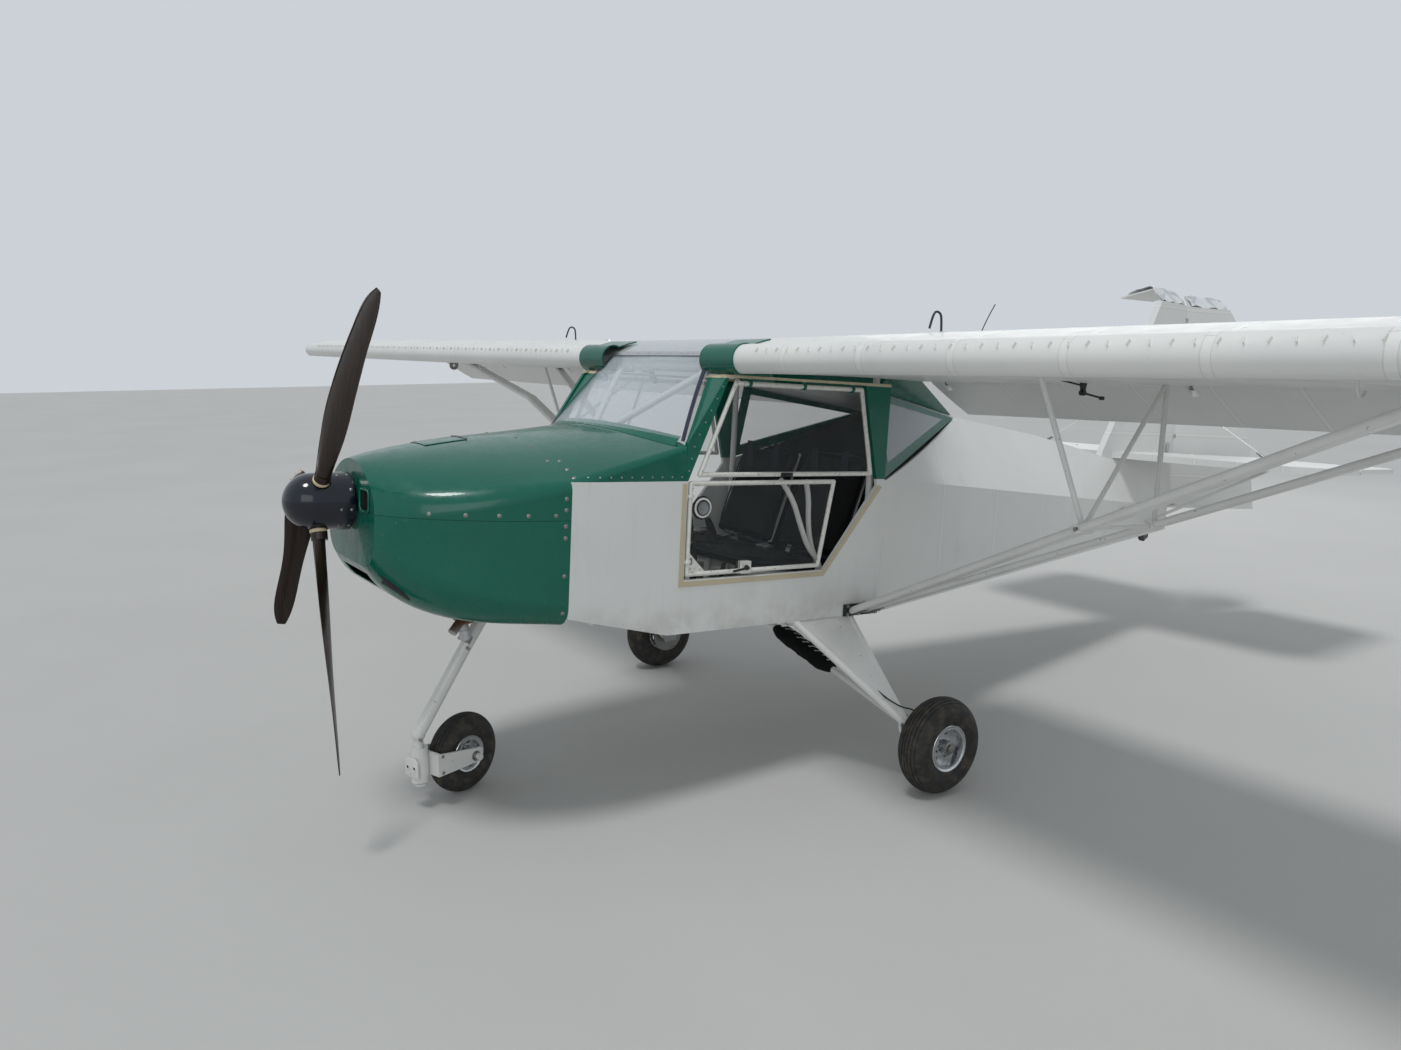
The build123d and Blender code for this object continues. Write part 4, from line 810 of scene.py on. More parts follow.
def make_finishes(colours):
    """Every finish of the machine, by name."""
    green = tuple(colours.green)
    white = tuple(colours.white)
    fabric = tuple(colours.fabric)
    cream = tuple(colours.cream)
    F["green"] = green_paint(green)
    F["white"] = white_panels(white)
    F["wing"] = covering("wing_fabric", fabric, 1, 0.34, 0.1, tip=5.03)
    F["flap"] = covering("flaperon_fabric", fabric, 1, 0.26, 0.05, 0.008, 0.3)
    F["rear"] = covering("fuselage_fabric", fabric, 0, 0.42, -0.06, 0.01, 0.35)
    F["tail"] = covering("tail_fabric", fabric, 1, 0.21, 0.04, 0.009, 0.35)
    F["fin"] = covering("fin_fabric", fabric, 2, 0.23, 0.1, 0.009, 0.35)
    F["crumple"] = crumpled("crumpled_fabric", fabric)
    F["screen"] = clear_sheet("screen_sheet", srgb(205, 216, 222), 0.1)
    F["roof"] = clear_sheet("roof_clear_sheet", srgb(196, 203, 205), 0.42, 0.2, 0.6)
    # The quarter panes get the most painted reflection
    F["quarter"] = clear_sheet("quarter_sheet", srgb(206, 214, 218), 0.08, glare=0.9)
    F["upper_door"] = door_finish("upper_door_sheet", ((656, 1398), (786, 1090), (10, 1090), (82, 1398)),
                                  srgb(226, 226, 220))
    F["lower_door"] = door_finish("lower_door_sheet", ((820, 1062), (820, 756), (244, 756), (190, 1062)),
                                  srgb(226, 226, 220))
    F["cream"] = tube_paint("cream_rails", cream)
    F["tube"] = tube_paint("white_tube", srgb(224, 224, 220))
    F["strut"] = tube_paint("strut_enamel", srgb(220, 221, 218))
    F["alloy"] = brushed("bare_alloy", srgb(196, 198, 200), 0.3, "bare_metal")
    F["polished"] = brushed("polished_rim", srgb(214, 216, 218), 0.16, "bare_metal", (90, 90, 90), 0.15)
    F["steel"] = brushed("zinc_steel", srgb(150, 150, 146), 0.36, "steel", (120, 120, 120), 0.4)
    F["black_steel"] = plastic("black_steel", srgb(26, 27, 29), "steel", 0.42, 300)
    F["exhaust"] = heated()
    F["engine"] = cast_metal()
    F["rubber"] = rubber()
    F["cloth"] = black_cloth()
    F["belt"] = black_cloth("belt_webbing", srgb(34, 38, 48))
    F["navy"] = plastic("navy_gloss", tuple(colours.navy), "navy_plastic", 0.14, 160)
    F["navy"].give("Coat Weight", 0.3)
    F["navy"].give("Specular IOR Level", 0.35)
    F["blade"] = blade_finish(tuple(colours.wood))
    F["edge"] = plastic("blade_edge", srgb(70, 56, 38), "blade_laminate", 0.4)
    F["panel"] = plastic("panel_black", srgb(30, 31, 33))
    # Black trim, and also the painted shade of the chin slots, inlet ducts and fork bracket holes
    F["dark"] = plastic("dark_trim_and_painted_shade", srgb(16, 17, 19))
    F["blue_seal"] = plastic("blue_seal", srgb(18, 26, 52), rough=0.4)
    F["cream_wood"] = plastic("cream_ferrule", srgb(206, 190, 158), "blade_laminate", 0.5)
    F["glass_dial"] = plastic("dial_face", srgb(12, 12, 13), rough=0.12)
    F["needle"] = plastic("dial_marks", srgb(226, 226, 220), rough=0.4)
    F["red"] = plastic("red_knob", srgb(150, 22, 18), rough=0.35)
    F["orange"] = plastic("torn_wood", srgb(150, 112, 62), rough=0.55)


def posts_finish():
    """Green posts beside the screen, cream rails over the doors."""
    f = Finish("post_paint", srgb(0, 100, 80), 0.3, slot="green_paint")
    f.give("Specular IOR Level", 0.25)
    z = f.xyz()[2]
    railed = z.above(1.4135)
    tone = f.mix(f.noise(30, 4).smooth(0.35, 0.75) * 0.4, srgb(0, 100, 80), srgb(0, 82, 66))
    pale = f.mix(f.noise(24, 4).smooth(0.35, 0.75) * 0.5, srgb(200, 188, 160), srgb(172, 158, 130))
    f.colour(f.mix(railed, tone, pale))
    f.give("Roughness", 0.26 + railed * 0.2)
    f.give("Coat Weight", 0.3 - railed * 0.1)
    f.bump(f.noise(120, 3), 0.08, 0.0006)
    return f


# The nodes that each finish covers; the posts and whatever isn't named here have the posts' paint
FINISH_NODES = {
    "green": ("cowl_upper", "cowl_lower", "scuttle", "wing_root_fairings", "quarter_frames",
              "deck_fairing"),
    "alloy": ("firewall",),
    "white": ("cabin_side_port", "cabin_side_starboard", "belly"),
    "panel": ("instrument_panel",),
    "tube": ("cabin_frame",),
    "screen": ("windscreen",),
    "roof": ("roof_sheet",),
    "quarter": ("quarter_windows",),
    "rear": ("rear_fuselage",),
    "wing": ("wing_port", "wing_starboard"),
    "flap": ("flaperon_port", "flaperon_starboard"),
    "steel": ("flaperon_hinges", "tie_down_eyes"),
    "fin": ("fin", "rudder"),
    "tail": ("stabilizers", "elevator"),
    "strut": ("tail_braces", "nose_leg", "nose_fork", "gear_leg_port", "gear_leg_starboard", "gear_cabane",
              "bungee_struts", "lift_struts_port", "lift_struts_starboard", "jury_struts"),
    "black_steel": ("tail_skid", "strut_fittings", "brakes", "sticks"),
    "engine": ("engine",),
    "exhaust": ("exhaust",),
    "blade": ("propeller",),
    "navy": ("spinner",),
    "cloth": ("bungee_covers", "seats"),
    "polished": ("main_rim_port", "main_rim_starboard", "nose_rim"),
    "rubber": ("main_tyre_port", "main_tyre_starboard", "nose_tyre"),
    "upper_door": ("door_upper_port", "door_upper_starboard"),
    "lower_door": ("door_lower_port", "door_lower_starboard"),
}
NODE_FINISH = {node: finish for finish, nodes in FINISH_NODES.items() for node in nodes}


class AIRCRAFT_OT_dress_frame(bpy.types.Operator):
    """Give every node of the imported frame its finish"""
    bl_idname = "aircraft.dress_frame"
    bl_label = "Dress the Frame"

    def execute(self, context):
        make_finishes(context.scene.aircraft_colours)
        F["posts"] = posts_finish()
        for name, node in NODES.items():
            finish = F[NODE_FINISH.get(name, "posts")]
            node.data.materials.clear()
            node.data.materials.append(finish.material)
        return {"FINISHED"}


# Nose

SPLIT_SCREWS = (1310, 1395, 1480, 1572, 1665)
# Upper and lower edge of the slot on the port side of the chin, made as a thin dark sheet of painted shade
CHIN_SLOT = (
    ((1775, 208, 776), (1760, 238, 765), (1743, 263, 753),
     (1725, 282, 736), (1704, 294, 716), (1689, 294, 696)),
    ((1764, 156, 744), (1755, 206, 738), (1741, 237, 729),
     (1723, 259, 716), (1704, 274, 701), (1688, 283, 689)),
)
# Middle of an air inlet beside the spinner
INLET = (1787, 150, 985)


def duct(front, back, wide, deep, wide_back, deep_back):
    """A tapering black box behind an opening, closed at its rear: painted shade for the opening's dark
    inside.
    """
    rows = []
    mouth, end = (front, wide / 2, deep / 2), (back, wide_back / 2, deep_back / 2)
    for (x, y, z), half_y, half_z in (mouth, end, (back, 0.5, 0.5)):
        ring = [(1, 1), (0, 1), (-1, 1), (-1, 0), (-1, -1), (0, -1), (1, -1), (1, 0), (1, 1)]
        rows.append([at(x, y + half_y * j, z + half_z * k) for j, k in ring])
    return edit(patch(rows), weld(), outward, bpy.ops.mesh.flip_normals)


class AIRCRAFT_OT_nose_trim(bpy.types.Operator):
    """Screws, hatch and radiator of the cowling, with inlet ducts and chin slots of painted shade"""
    bl_idname = "aircraft.nose_trim"
    bl_label = "Cowling Trim"

    def execute(self, context):
        radius = context.scene.aircraft_sizes.screw_radius
        places = []
        for side in (1, -1):
            inward = heading(0, -side, 0)
            for x in SPLIT_SCREWS:
                places.append(touch("cowl_upper", at(x, side * 700, 968), inward))
            for z in (1020, 985):
                places.append(touch("cowl_upper", at(1278, side * 700, z), inward))
            for z in (935, 898, 780, 662):
                places.append(touch("cowl_lower", at(1278, side * 700, z), inward))
            for z in (1082, 1104, 1126):
                places.append(touch("scuttle", at(1244, side * 700, z), inward))
        for y in (-360, -240, -120, 0, 120, 240, 360):
            places.append(touch("cowl_upper", at(1278, y, 1400), DOWN))
        for y in (-300, -215, 215, 300):
            places.append(touch("cowl_lower", at(1276, y, 400), UP))
        keep(scatter(screw_head(radius), places, 0.7), "cowl_screws", "steel")

        # Oil hatch on the crown, following the skin
        rows = []
        for x in range(1430, 1571, 14):
            rows.append([touch("cowl_upper", at(x, y, 1400), DOWN, 0.0016)[0]
                         for y in range(-70, 71, 14)])
        hatch = patch(rows, 0.0022, 0)
        break_edges(hatch, 0.0008)
        keep(hatch, "oil_hatch", "green")
        spots = [touch("cowl_upper", at(1560, y, 1400), DOWN, 0.002) for y in (-52, 52)]
        keep(scatter(screw_head(0.006), spots, 0.5), "oil_hatch_catches", "steel")
        hinge = [touch("cowl_upper", at(1428, y, 1400), DOWN, 0.0035)[0] for y in (-66, -22, 22, 66)]
        keep(tube(hinge, 0.0032), "oil_hatch_hinge", "steel")

        x, y, z = INLET
        # Painted shade: black boxes closed behind the inlets stand for their dark insides
        ducts = [duct((x - 7, side * y, z), (x - 119, side * y, z), 88, 68, 60, 50) for side in (1, -1)]
        keep(joined(ducts), "inlet_ducts", "dark", smooth=0)
        octagon = ((1, 0.7), (0.8, 1), (-0.8, 1), (-1, 0.7), (-1, -0.7), (-0.8, -1), (0.8, -1), (1, -0.7))
        lips = []
        for side in (1, -1):
            corners = [at(x, side * y + j * 43, z + k * 33) for j, k in octagon]
            lips.append(tube(corners, 0.0035, closed=True))
        keep(joined(lips), "inlet_lips", "green")

        # Radiator behind the lower mouth: two tanks and a finned core
        core = [block(at(1664, 0, 742), (0.026, 0.232, 0.09), 0.002)]
        for k in range(21):
            core.append(block(at(1678, -105 + 10.5 * k, 742), (0.006, 0.0022, 0.086), 0.0005))
        for k in range(7):
            core.append(block(at(1679, 0, 706 + 12 * k), (0.005, 0.222, 0.003), 0.0006))
        for y in (-116, 116):
            core.append(tube([at(1664, y, 700), at(1664, y, 786)], 0.014))
        keep(joined(core), "radiator_core", "engine")

        # Painted shade: thin dark sheets stand for the slots that carry the mouth back round the chin
        slots = []
        for side in (1, -1):
            rows = [[at(x, side * y, z) for x, y, z in line] for line in CHIN_SLOT]
            slots.append(edit(patch(rows, 0.0015, 0, 1), outward))
        keep(joined(slots), "chin_slots", "dark")
        return {"FINISHED"}


# The muffler's axis runs across the nose at this place
MUFFLER_X = 1440
MUFFLER_Z = 610


class AIRCRAFT_OT_exhaust_trim(bpy.types.Operator):
    """Clamps, springs and flanges of the exhaust"""
    bl_idname = "aircraft.exhaust_trim"
    bl_label = "Exhaust Trim"

    def execute(self, context):
        bands = []
        for y in (-120, -30, 90):
            band = [(44.2, -7), (47, -7), (48, 0), (47, 7), (44.2, 7)]
            bands.append(turned(band, at(MUFFLER_X, y, MUFFLER_Z), PORT, 40))
            bands.append(block(at(MUFFLER_X, y, 561), (0.012, 0.016, 0.012), 0.0015))
        for y, out in ((-151, heading(0, -1, 0)), (131, PORT)):
            dish = [(0, -3), (40, -3), (46, 0), (40, 4), (0, 6)]
            bands.append(turned(dish, at(MUFFLER_X, y, MUFFLER_Z), out, 40))
        keep(joined(bands), "exhaust_clamps", "exhaust")
        end = at(1415, 60, 500)
        pipe_way = (end - at(MUFFLER_X, 60, MUFFLER_Z)).normalized()
        tip = [(16.8, -30), (19.5, -30), (19.5, 3), (15, 5), (13, 4), (13, -8), (16.8, -8)]
        keep(turned(tip, end, pipe_way, 32), "tail_pipe_end", "alloy")
        coils = []
        for y in (-34, 92):
            turns = [at(MUFFLER_X + 12 * k / 40 * 3 - 18,
                        y + 4 * math.cos(k * 1.3), 660 + 4 * math.sin(k * 1.3)) for k in range(40)]
            coils.append(tube(turns, 0.0009, smooth=True, rings=1))
        keep(joined(coils), "exhaust_springs", "steel")
        return {"FINISHED"}


# Windscreen

# The screen's foot is an arc in plan, of this middle and radius, and rises from here towards its middle
ARC_MIDDLE_X = -312
ARC_R = 1254
FOOT_X = 844
FOOT_Z = 1195
# Port edge of the screen, foot and head
SCREEN_EDGE = ((FOOT_X, 486, 1196), (648, 338, 1492))


def screen_foot(y, out=0.0):
    """Body-frame point on the screen's foot arc, moved outwards in plan."""
    span = math.sqrt(ARC_R ** 2 - y ** 2)
    x = ARC_MIDDLE_X + span
    z = FOOT_Z + 35 * (x - FOOT_X) / 98
    return Vector((x + out * span / ARC_R, y + out * y / ARC_R, z))


class AIRCRAFT_OT_screen_trim(bpy.types.Operator):
    """Riveted strips, seals and head rail of the windscreen and its posts"""
    bl_idname = "aircraft.screen_trim"
    bl_label = "Windscreen Trim"

    def execute(self, context):
        sizes = context.scene.aircraft_sizes
        rows = []
        rivets = []
        count = 48
        for k in range(count + 1):
            y = -462 + 924 * k / count
            foot = screen_foot(y)
            front = screen_foot(y, 22)
            low = touch("scuttle", at(front.x, front.y, front.z + 120), DOWN, 0.0012)[0]
            upward = Vector((-294, 0, 262)).normalized() * 17
            high = at(foot.x + upward.x + 1.5, foot.y * 0.985, foot.z + upward.z + 4.5)
            middle = at(foot.x + 4, foot.y, foot.z + 4.5)
            rows.append([low, middle, high])
        strip = patch(rows, 0.0014, 1)
        break_edges(strip, 0.0004, 1)
        keep(edit(strip, outward), "screen_foot_strip", "green")
        steps = int(0.924 / sizes.rivet_pitch)
        for k in range(steps + 1):
            y = -455 + 910 * k / steps
            front = screen_foot(y, 13)
            rivets.append(touch("scuttle", at(front.x, front.y, front.z + 120), DOWN, 0.0026))
        for side in (1, -1):
            inward = heading(0, -side, 0)
            for k in range(8):
                z = 1104 + 40 * k
                door_x = 836 - 146 * (z - 1070) / 344
                edge_x = FOOT_X if z < 1194 else FOOT_X - 140 * (z - 1194) / 221
                rivets.append(touch("cabin_posts", at((door_x + edge_x) / 2, side * 620, z), inward))
            for k in range(11):
                rivets.append(touch("scuttle", at(860 + 38 * k, side * 620, 1084), inward))
        for y in range(-300, 301, 75):
            rivets.append((at(652, y, 1499), heading(0.66, 0, 0.75)))
        keep(scatter(rivet_head(sizes.rivet_radius * 1.25, 0.0014), rivets), "screen_rivets", "alloy")
        rows = [[at(636, y, 1503.5), at(648, y, 1499.5), at(661, y, 1488)] for y in range(-326, 327, 12)]
        keep(edit(patch(rows, 0.0014, 1), outward), "screen_head_strip", "alloy")
        seals = []
        for side in (1, -1):
            rows = []
            for t in shares(12):
                x, y, z = between(*SCREEN_EDGE, t)
                bulge = 6 * math.sin(math.pi * t)
                rows.append([at(x + 3 + bulge, side * (y - 1), z + 4),
                             at(x + 7 + bulge, side * (y - 16), z + 5)])
            seals.append(edit(patch(rows, 0.002, 0), outward))
        keep(joined(seals), "screen_side_seals", "blue_seal")
        return {"FINISHED"}


# Wing

# Rib tapes, metres from the middle, and the places along the chord that each one passes
TAPES = [round(0.1 + 0.34 * k, 3) for k in range(-15, 15)]
TAPE_CHORD = (14, 26, 45, 75, 120, 190, 280, 380, 480, 580, 680, 780, 870, 945)
# Heights over and under the wing from which its skin is felt for
ABOVE = 260
BELOW = -260
# Where the tank vent bends, as a way forward and up from its foot and how far
VENT_BEND = ((0.05, 1, 0.03), (0.12, 1, 0.058), (0.5, 1, 0.07), (1, 0.9, 0.058), (1, 0.2, 0.052))
FUEL_CAP = [(0, -1), (34, -1), (34, 2.5), (31, 4), (24, 4), (22, 10), (20, 12), (6, 12.5), (4, 11), (0, 11)]
CRANK_PLATE = ((1, -0.1, 0.018), (0.3, -1, 0.036), (-0.3, -1, 0.037), (-1, -0.1, 0.018))


class AIRCRAFT_OT_wing_trim(bpy.types.Operator):
    """Vortex vanes, rib tapes, vents, caps, aerial and control fittings of the wing"""
    bl_idname = "aircraft.wing_trim"
    bl_label = "Wing Trim"

    def execute(self, context):
        sizes = context.scene.aircraft_sizes
        for side, name in SIDES:
            node = "wing_" + name
            vanes = []
            count = int(3.98 / sizes.vane_pitch)
            for turn in (1, -1):
                outs = [650 + 1000 * sizes.vane_pitch * k for k in range(count) if k % 2 == (turn > 0)]
                spots = [touch(node, wing(-120, y, 40, side), AFT) for y in outs]
                vane = block((0, 0, 0.0035), (0.0016, 0.014, 0.009), 0.0004, (0, 0, 1))
                vane.matrix_world = Matrix.Rotation(math.radians(15 * turn), 4, "Z")
                vanes.append(scatter(settle(vane), spots))
            keep(joined(vanes), "vortex_vanes_" + name, "needle", smooth=0)
            tapes = []
            for y in TAPES:
                out = y * side
                if not 0.55 < out < 4.66:
                    continue
                for rise, aim in ((ABOVE, DOWN), (BELOW, UP)):
                    rows = [[touch(node, wing(aft, out * 1000 + wide, rise, side), aim, 0.0004)[0]
                             for wide in (-13, 13)] for aft in TAPE_CHORD]
                    tapes.append(edit(patch(rows, 0.0004, 0), outward))
            keep(joined(tapes), "rib_tapes_" + name, "wing")

            # Tank vent, bent over like a walking stick, with its foot plate
            foot, up = touch(node, wing(300, 1150, ABOVE, side), DOWN)
            path = [foot] + [foot + heading(x, 0, z) * reach for x, z, reach in VENT_BEND]
            keep(tube(path, 0.0035, smooth=True), "tank_vent_" + name, "black_steel")
            flange = turned([(0, 0), (11, 0), (11, 1.2), (5, 2.4), (5, 5), (0, 5)], foot, up, 20)
            keep(flange, "vent_foot_" + name, "alloy")
            spot, up = touch(node, wing(380, 960, ABOVE, side), DOWN)
            keep(turned(FUEL_CAP, spot, up, 40), "fuel_cap_" + name, "alloy")
            rings = []
            for aft, y in ((360, 1820), (360, 3300), (700, 2580), (640, 1180)):
                spot, out = touch(node, wing(aft, y, BELOW, side), UP)
                cover = [(0, 0), (44, 0), (44, 0.8), (40, 1.6), (36, 1.2), (0, 1.2)]
                rings.append(turned(cover, spot, out, 36))
            keep(joined(rings), "inspection_covers_" + name, "strut")

            # Push rod and bell crank that work the flaperon
            crank, _ = touch(node, wing(820, 1280, BELOW, side), UP)
            low = crank + DOWN * 0.033
            rod_end = low + heading(-0.9, 0.2 * side, -0.16) * 0.08
            cable = [crank + heading(0.5, 0, -0.3) * 0.018, crank + heading(1, -0.2 * side, 0.02) * 0.09]
            arms = [
                plate([crank + heading(x, 0, z) * r for x, z, r in CRANK_PLATE], 0.004, 0.001),
                tube([low, rod_end], 0.0035),
                tube(cable, 0.003),
                turned([(0, -8), (9, -8), (9, 8), (0, 8)], low, PORT, 20),
                turned([(0, -7), (6, -7), (6, 7), (0, 7)], rod_end, PORT, 16),
            ]
            keep(joined(arms), "flaperon_crank_" + name, "black_steel")
            hook, _ = touch(node, wing(309, 2300, BELOW, side), UP)
            path = [hook + heading(0.4, 0, 0.2) * 0.01, hook + heading(0.1, 0, -1) * 0.03,
                    hook + heading(-0.6, 0, -1) * 0.045, hook + heading(-0.9, 0, -0.6) * 0.04]
            keep(tube(path, 0.0035, smooth=True), "wing_hanger_" + name, "strut")

        whip, up = touch("wing_port", wing(420, 1190, ABOVE), DOWN)
        lean = [whip, whip + heading(-0.35, 0.1, 1) * 0.06, whip + heading(-0.45, 0.12, 1) * 0.115]
        keep(tube(lean, 0.0016, smooth=True), "aerial_whip", "black_steel")
        foot = [(0, 0), (13, 0), (12, 3), (6, 5), (5, 12), (0, 13)]
        keep(turned(foot, whip, up, 24), "aerial_foot", "panel")
        return {"FINISHED"}


# Struts

STRUT_TOP = 2580
KNEE_SHARE = 0.66
KNEE_RISE = 0.110
# Chord of the front and rear strut in millimetres, height of its plates' middles and depth of its clamp
STRUT_SECTIONS = ((62, 0.0152, 0.0305), (52, 0.0132, 0.0265))
# Outline of a strut's end plate, along it and across it
END_PLATE = ((-1, 1), (0.8, 1), (1, 0.6), (1, -0.6), (0.8, -1), (-1, -1))
# How far along to the knee a jury strut is clamped, by its place out from the middle, in metres
JURY_SHARE = (1.57 - 0.5) / (2.08 * KNEE_SHARE)


def strut_run(side):
    """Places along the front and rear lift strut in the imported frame: foot, knee of the bent one, top."""
    foot, top = at(52, side * 500, 572), wing(309, STRUT_TOP, 0, side)
    knee = foot.lerp(top, KNEE_SHARE) + UP * (0 if side > 0 else KNEE_RISE)
    rear_foot, rear_top = at(-6, side * 500, 570), wing(925, STRUT_TOP, 2, side)
    return (foot, knee, top), (rear_foot, rear_foot.lerp(rear_top, KNEE_SHARE), rear_top)


class AIRCRAFT_OT_strut_trim(bpy.types.Operator):
    """End plates, bolts and jury clamps of the lift struts"""
    bl_idname = "aircraft.strut_trim"
    bl_label = "Strut Trim"

    def execute(self, context):
        bolts = []
        plates = []
        clamps = []
        for side in (1, -1):
            for (foot, knee, top), (chord, half, deep) in zip(strut_run(side), STRUT_SECTIONS):
                along = (knee - foot).normalized()
                for end, way, reach in ((foot, along, 0.055), (top, (knee - top).normalized(), 0.06)):
                    spot = end + way * reach
                    for across in (UP, DOWN):
                        lift = across * half
                        fore = FORE * 0.013
                        corners = [spot + lift + way * a * 0.042 + fore * b for a, b in END_PLATE]
                        plates.append(plate(corners, 0.003, 0.0006))
                        for a in (-0.018, 0.018):
                            bolts.append((spot + lift + across * 0.0012 + way * a, across))
                spot = foot.lerp(knee, JURY_SHARE)
                stand = Matrix.Identity(3)
                stand.col[2] = along
                stand.col[0] = (FORE - along * FORE.dot(along)).normalized()
                stand.col[1] = stand.col[2].cross(stand.col[0])
                band = block((0, 0, 0), (chord / 1000 + 0.006, deep, 0.022), 0.004, (0, 0, 1))
                band.matrix_world = Matrix.Translation(spot) @ stand.to_4x4()
                clamps.append(settle(band))
                bolts.append((spot + FORE * (chord / 2000 + 0.002), FORE))
        keep(joined(plates), "strut_end_plates", "steel")
        keep(joined(clamps), "jury_clamps", "strut")
        keep(scatter(bolt_head(0.0055, 0.0045), bolts, 0.4), "strut_bolts", "steel")
        roots = []
        for side in (1, -1):
            for x in (92, 40, -20, -48):
                for z in (562, 594):
                    roots.append((at(x, side * 510, z), heading(0, side, 0)))
        keep(scatter(bolt_head(0.005, 0.004), roots, 0.3), "strut_root_bolts", "steel")
        return {"FINISHED"}


# Cabin

# Across, height and radius of each dial
GAUGES = ((-235, 1010, 30), (-160, 1010, 40), (-70, 1010, 40), (20, 1010, 40), (110, 1010, 40),
          (200, 1024, 26), (200, 966, 26), (-235, 958, 24), (-160, 946, 20))
# Place of the panel's foot, fore and up, and how far its face leans forward over its height
PANEL_FACE = (890, 930, 15, 142)
# The middle line of each seat, and the floor that things stand on
SEAT_OUT = 214
FLOOR = 572
STICK_GRIP = [(12.6, -70), (16, -66), (15, -50), (17, -36), (15, -20), (18, 0), (19, 22), (15, 34), (0, 38),
              (0, 13), (12.6, 12)]
# Curved tubes behind the doors: how far out, and their points fore and up
SIDE_TUBES = (
    (452, ((190, FLOOR), (186, 690), (199, 761), (258, 815), (297, 892), (349, 1009), (406, 1067))),
    (428, ((172, FLOOR), (174, 690), (186, 752), (226, 821), (244, 907), (248, 1007), (267, 1061))),
)


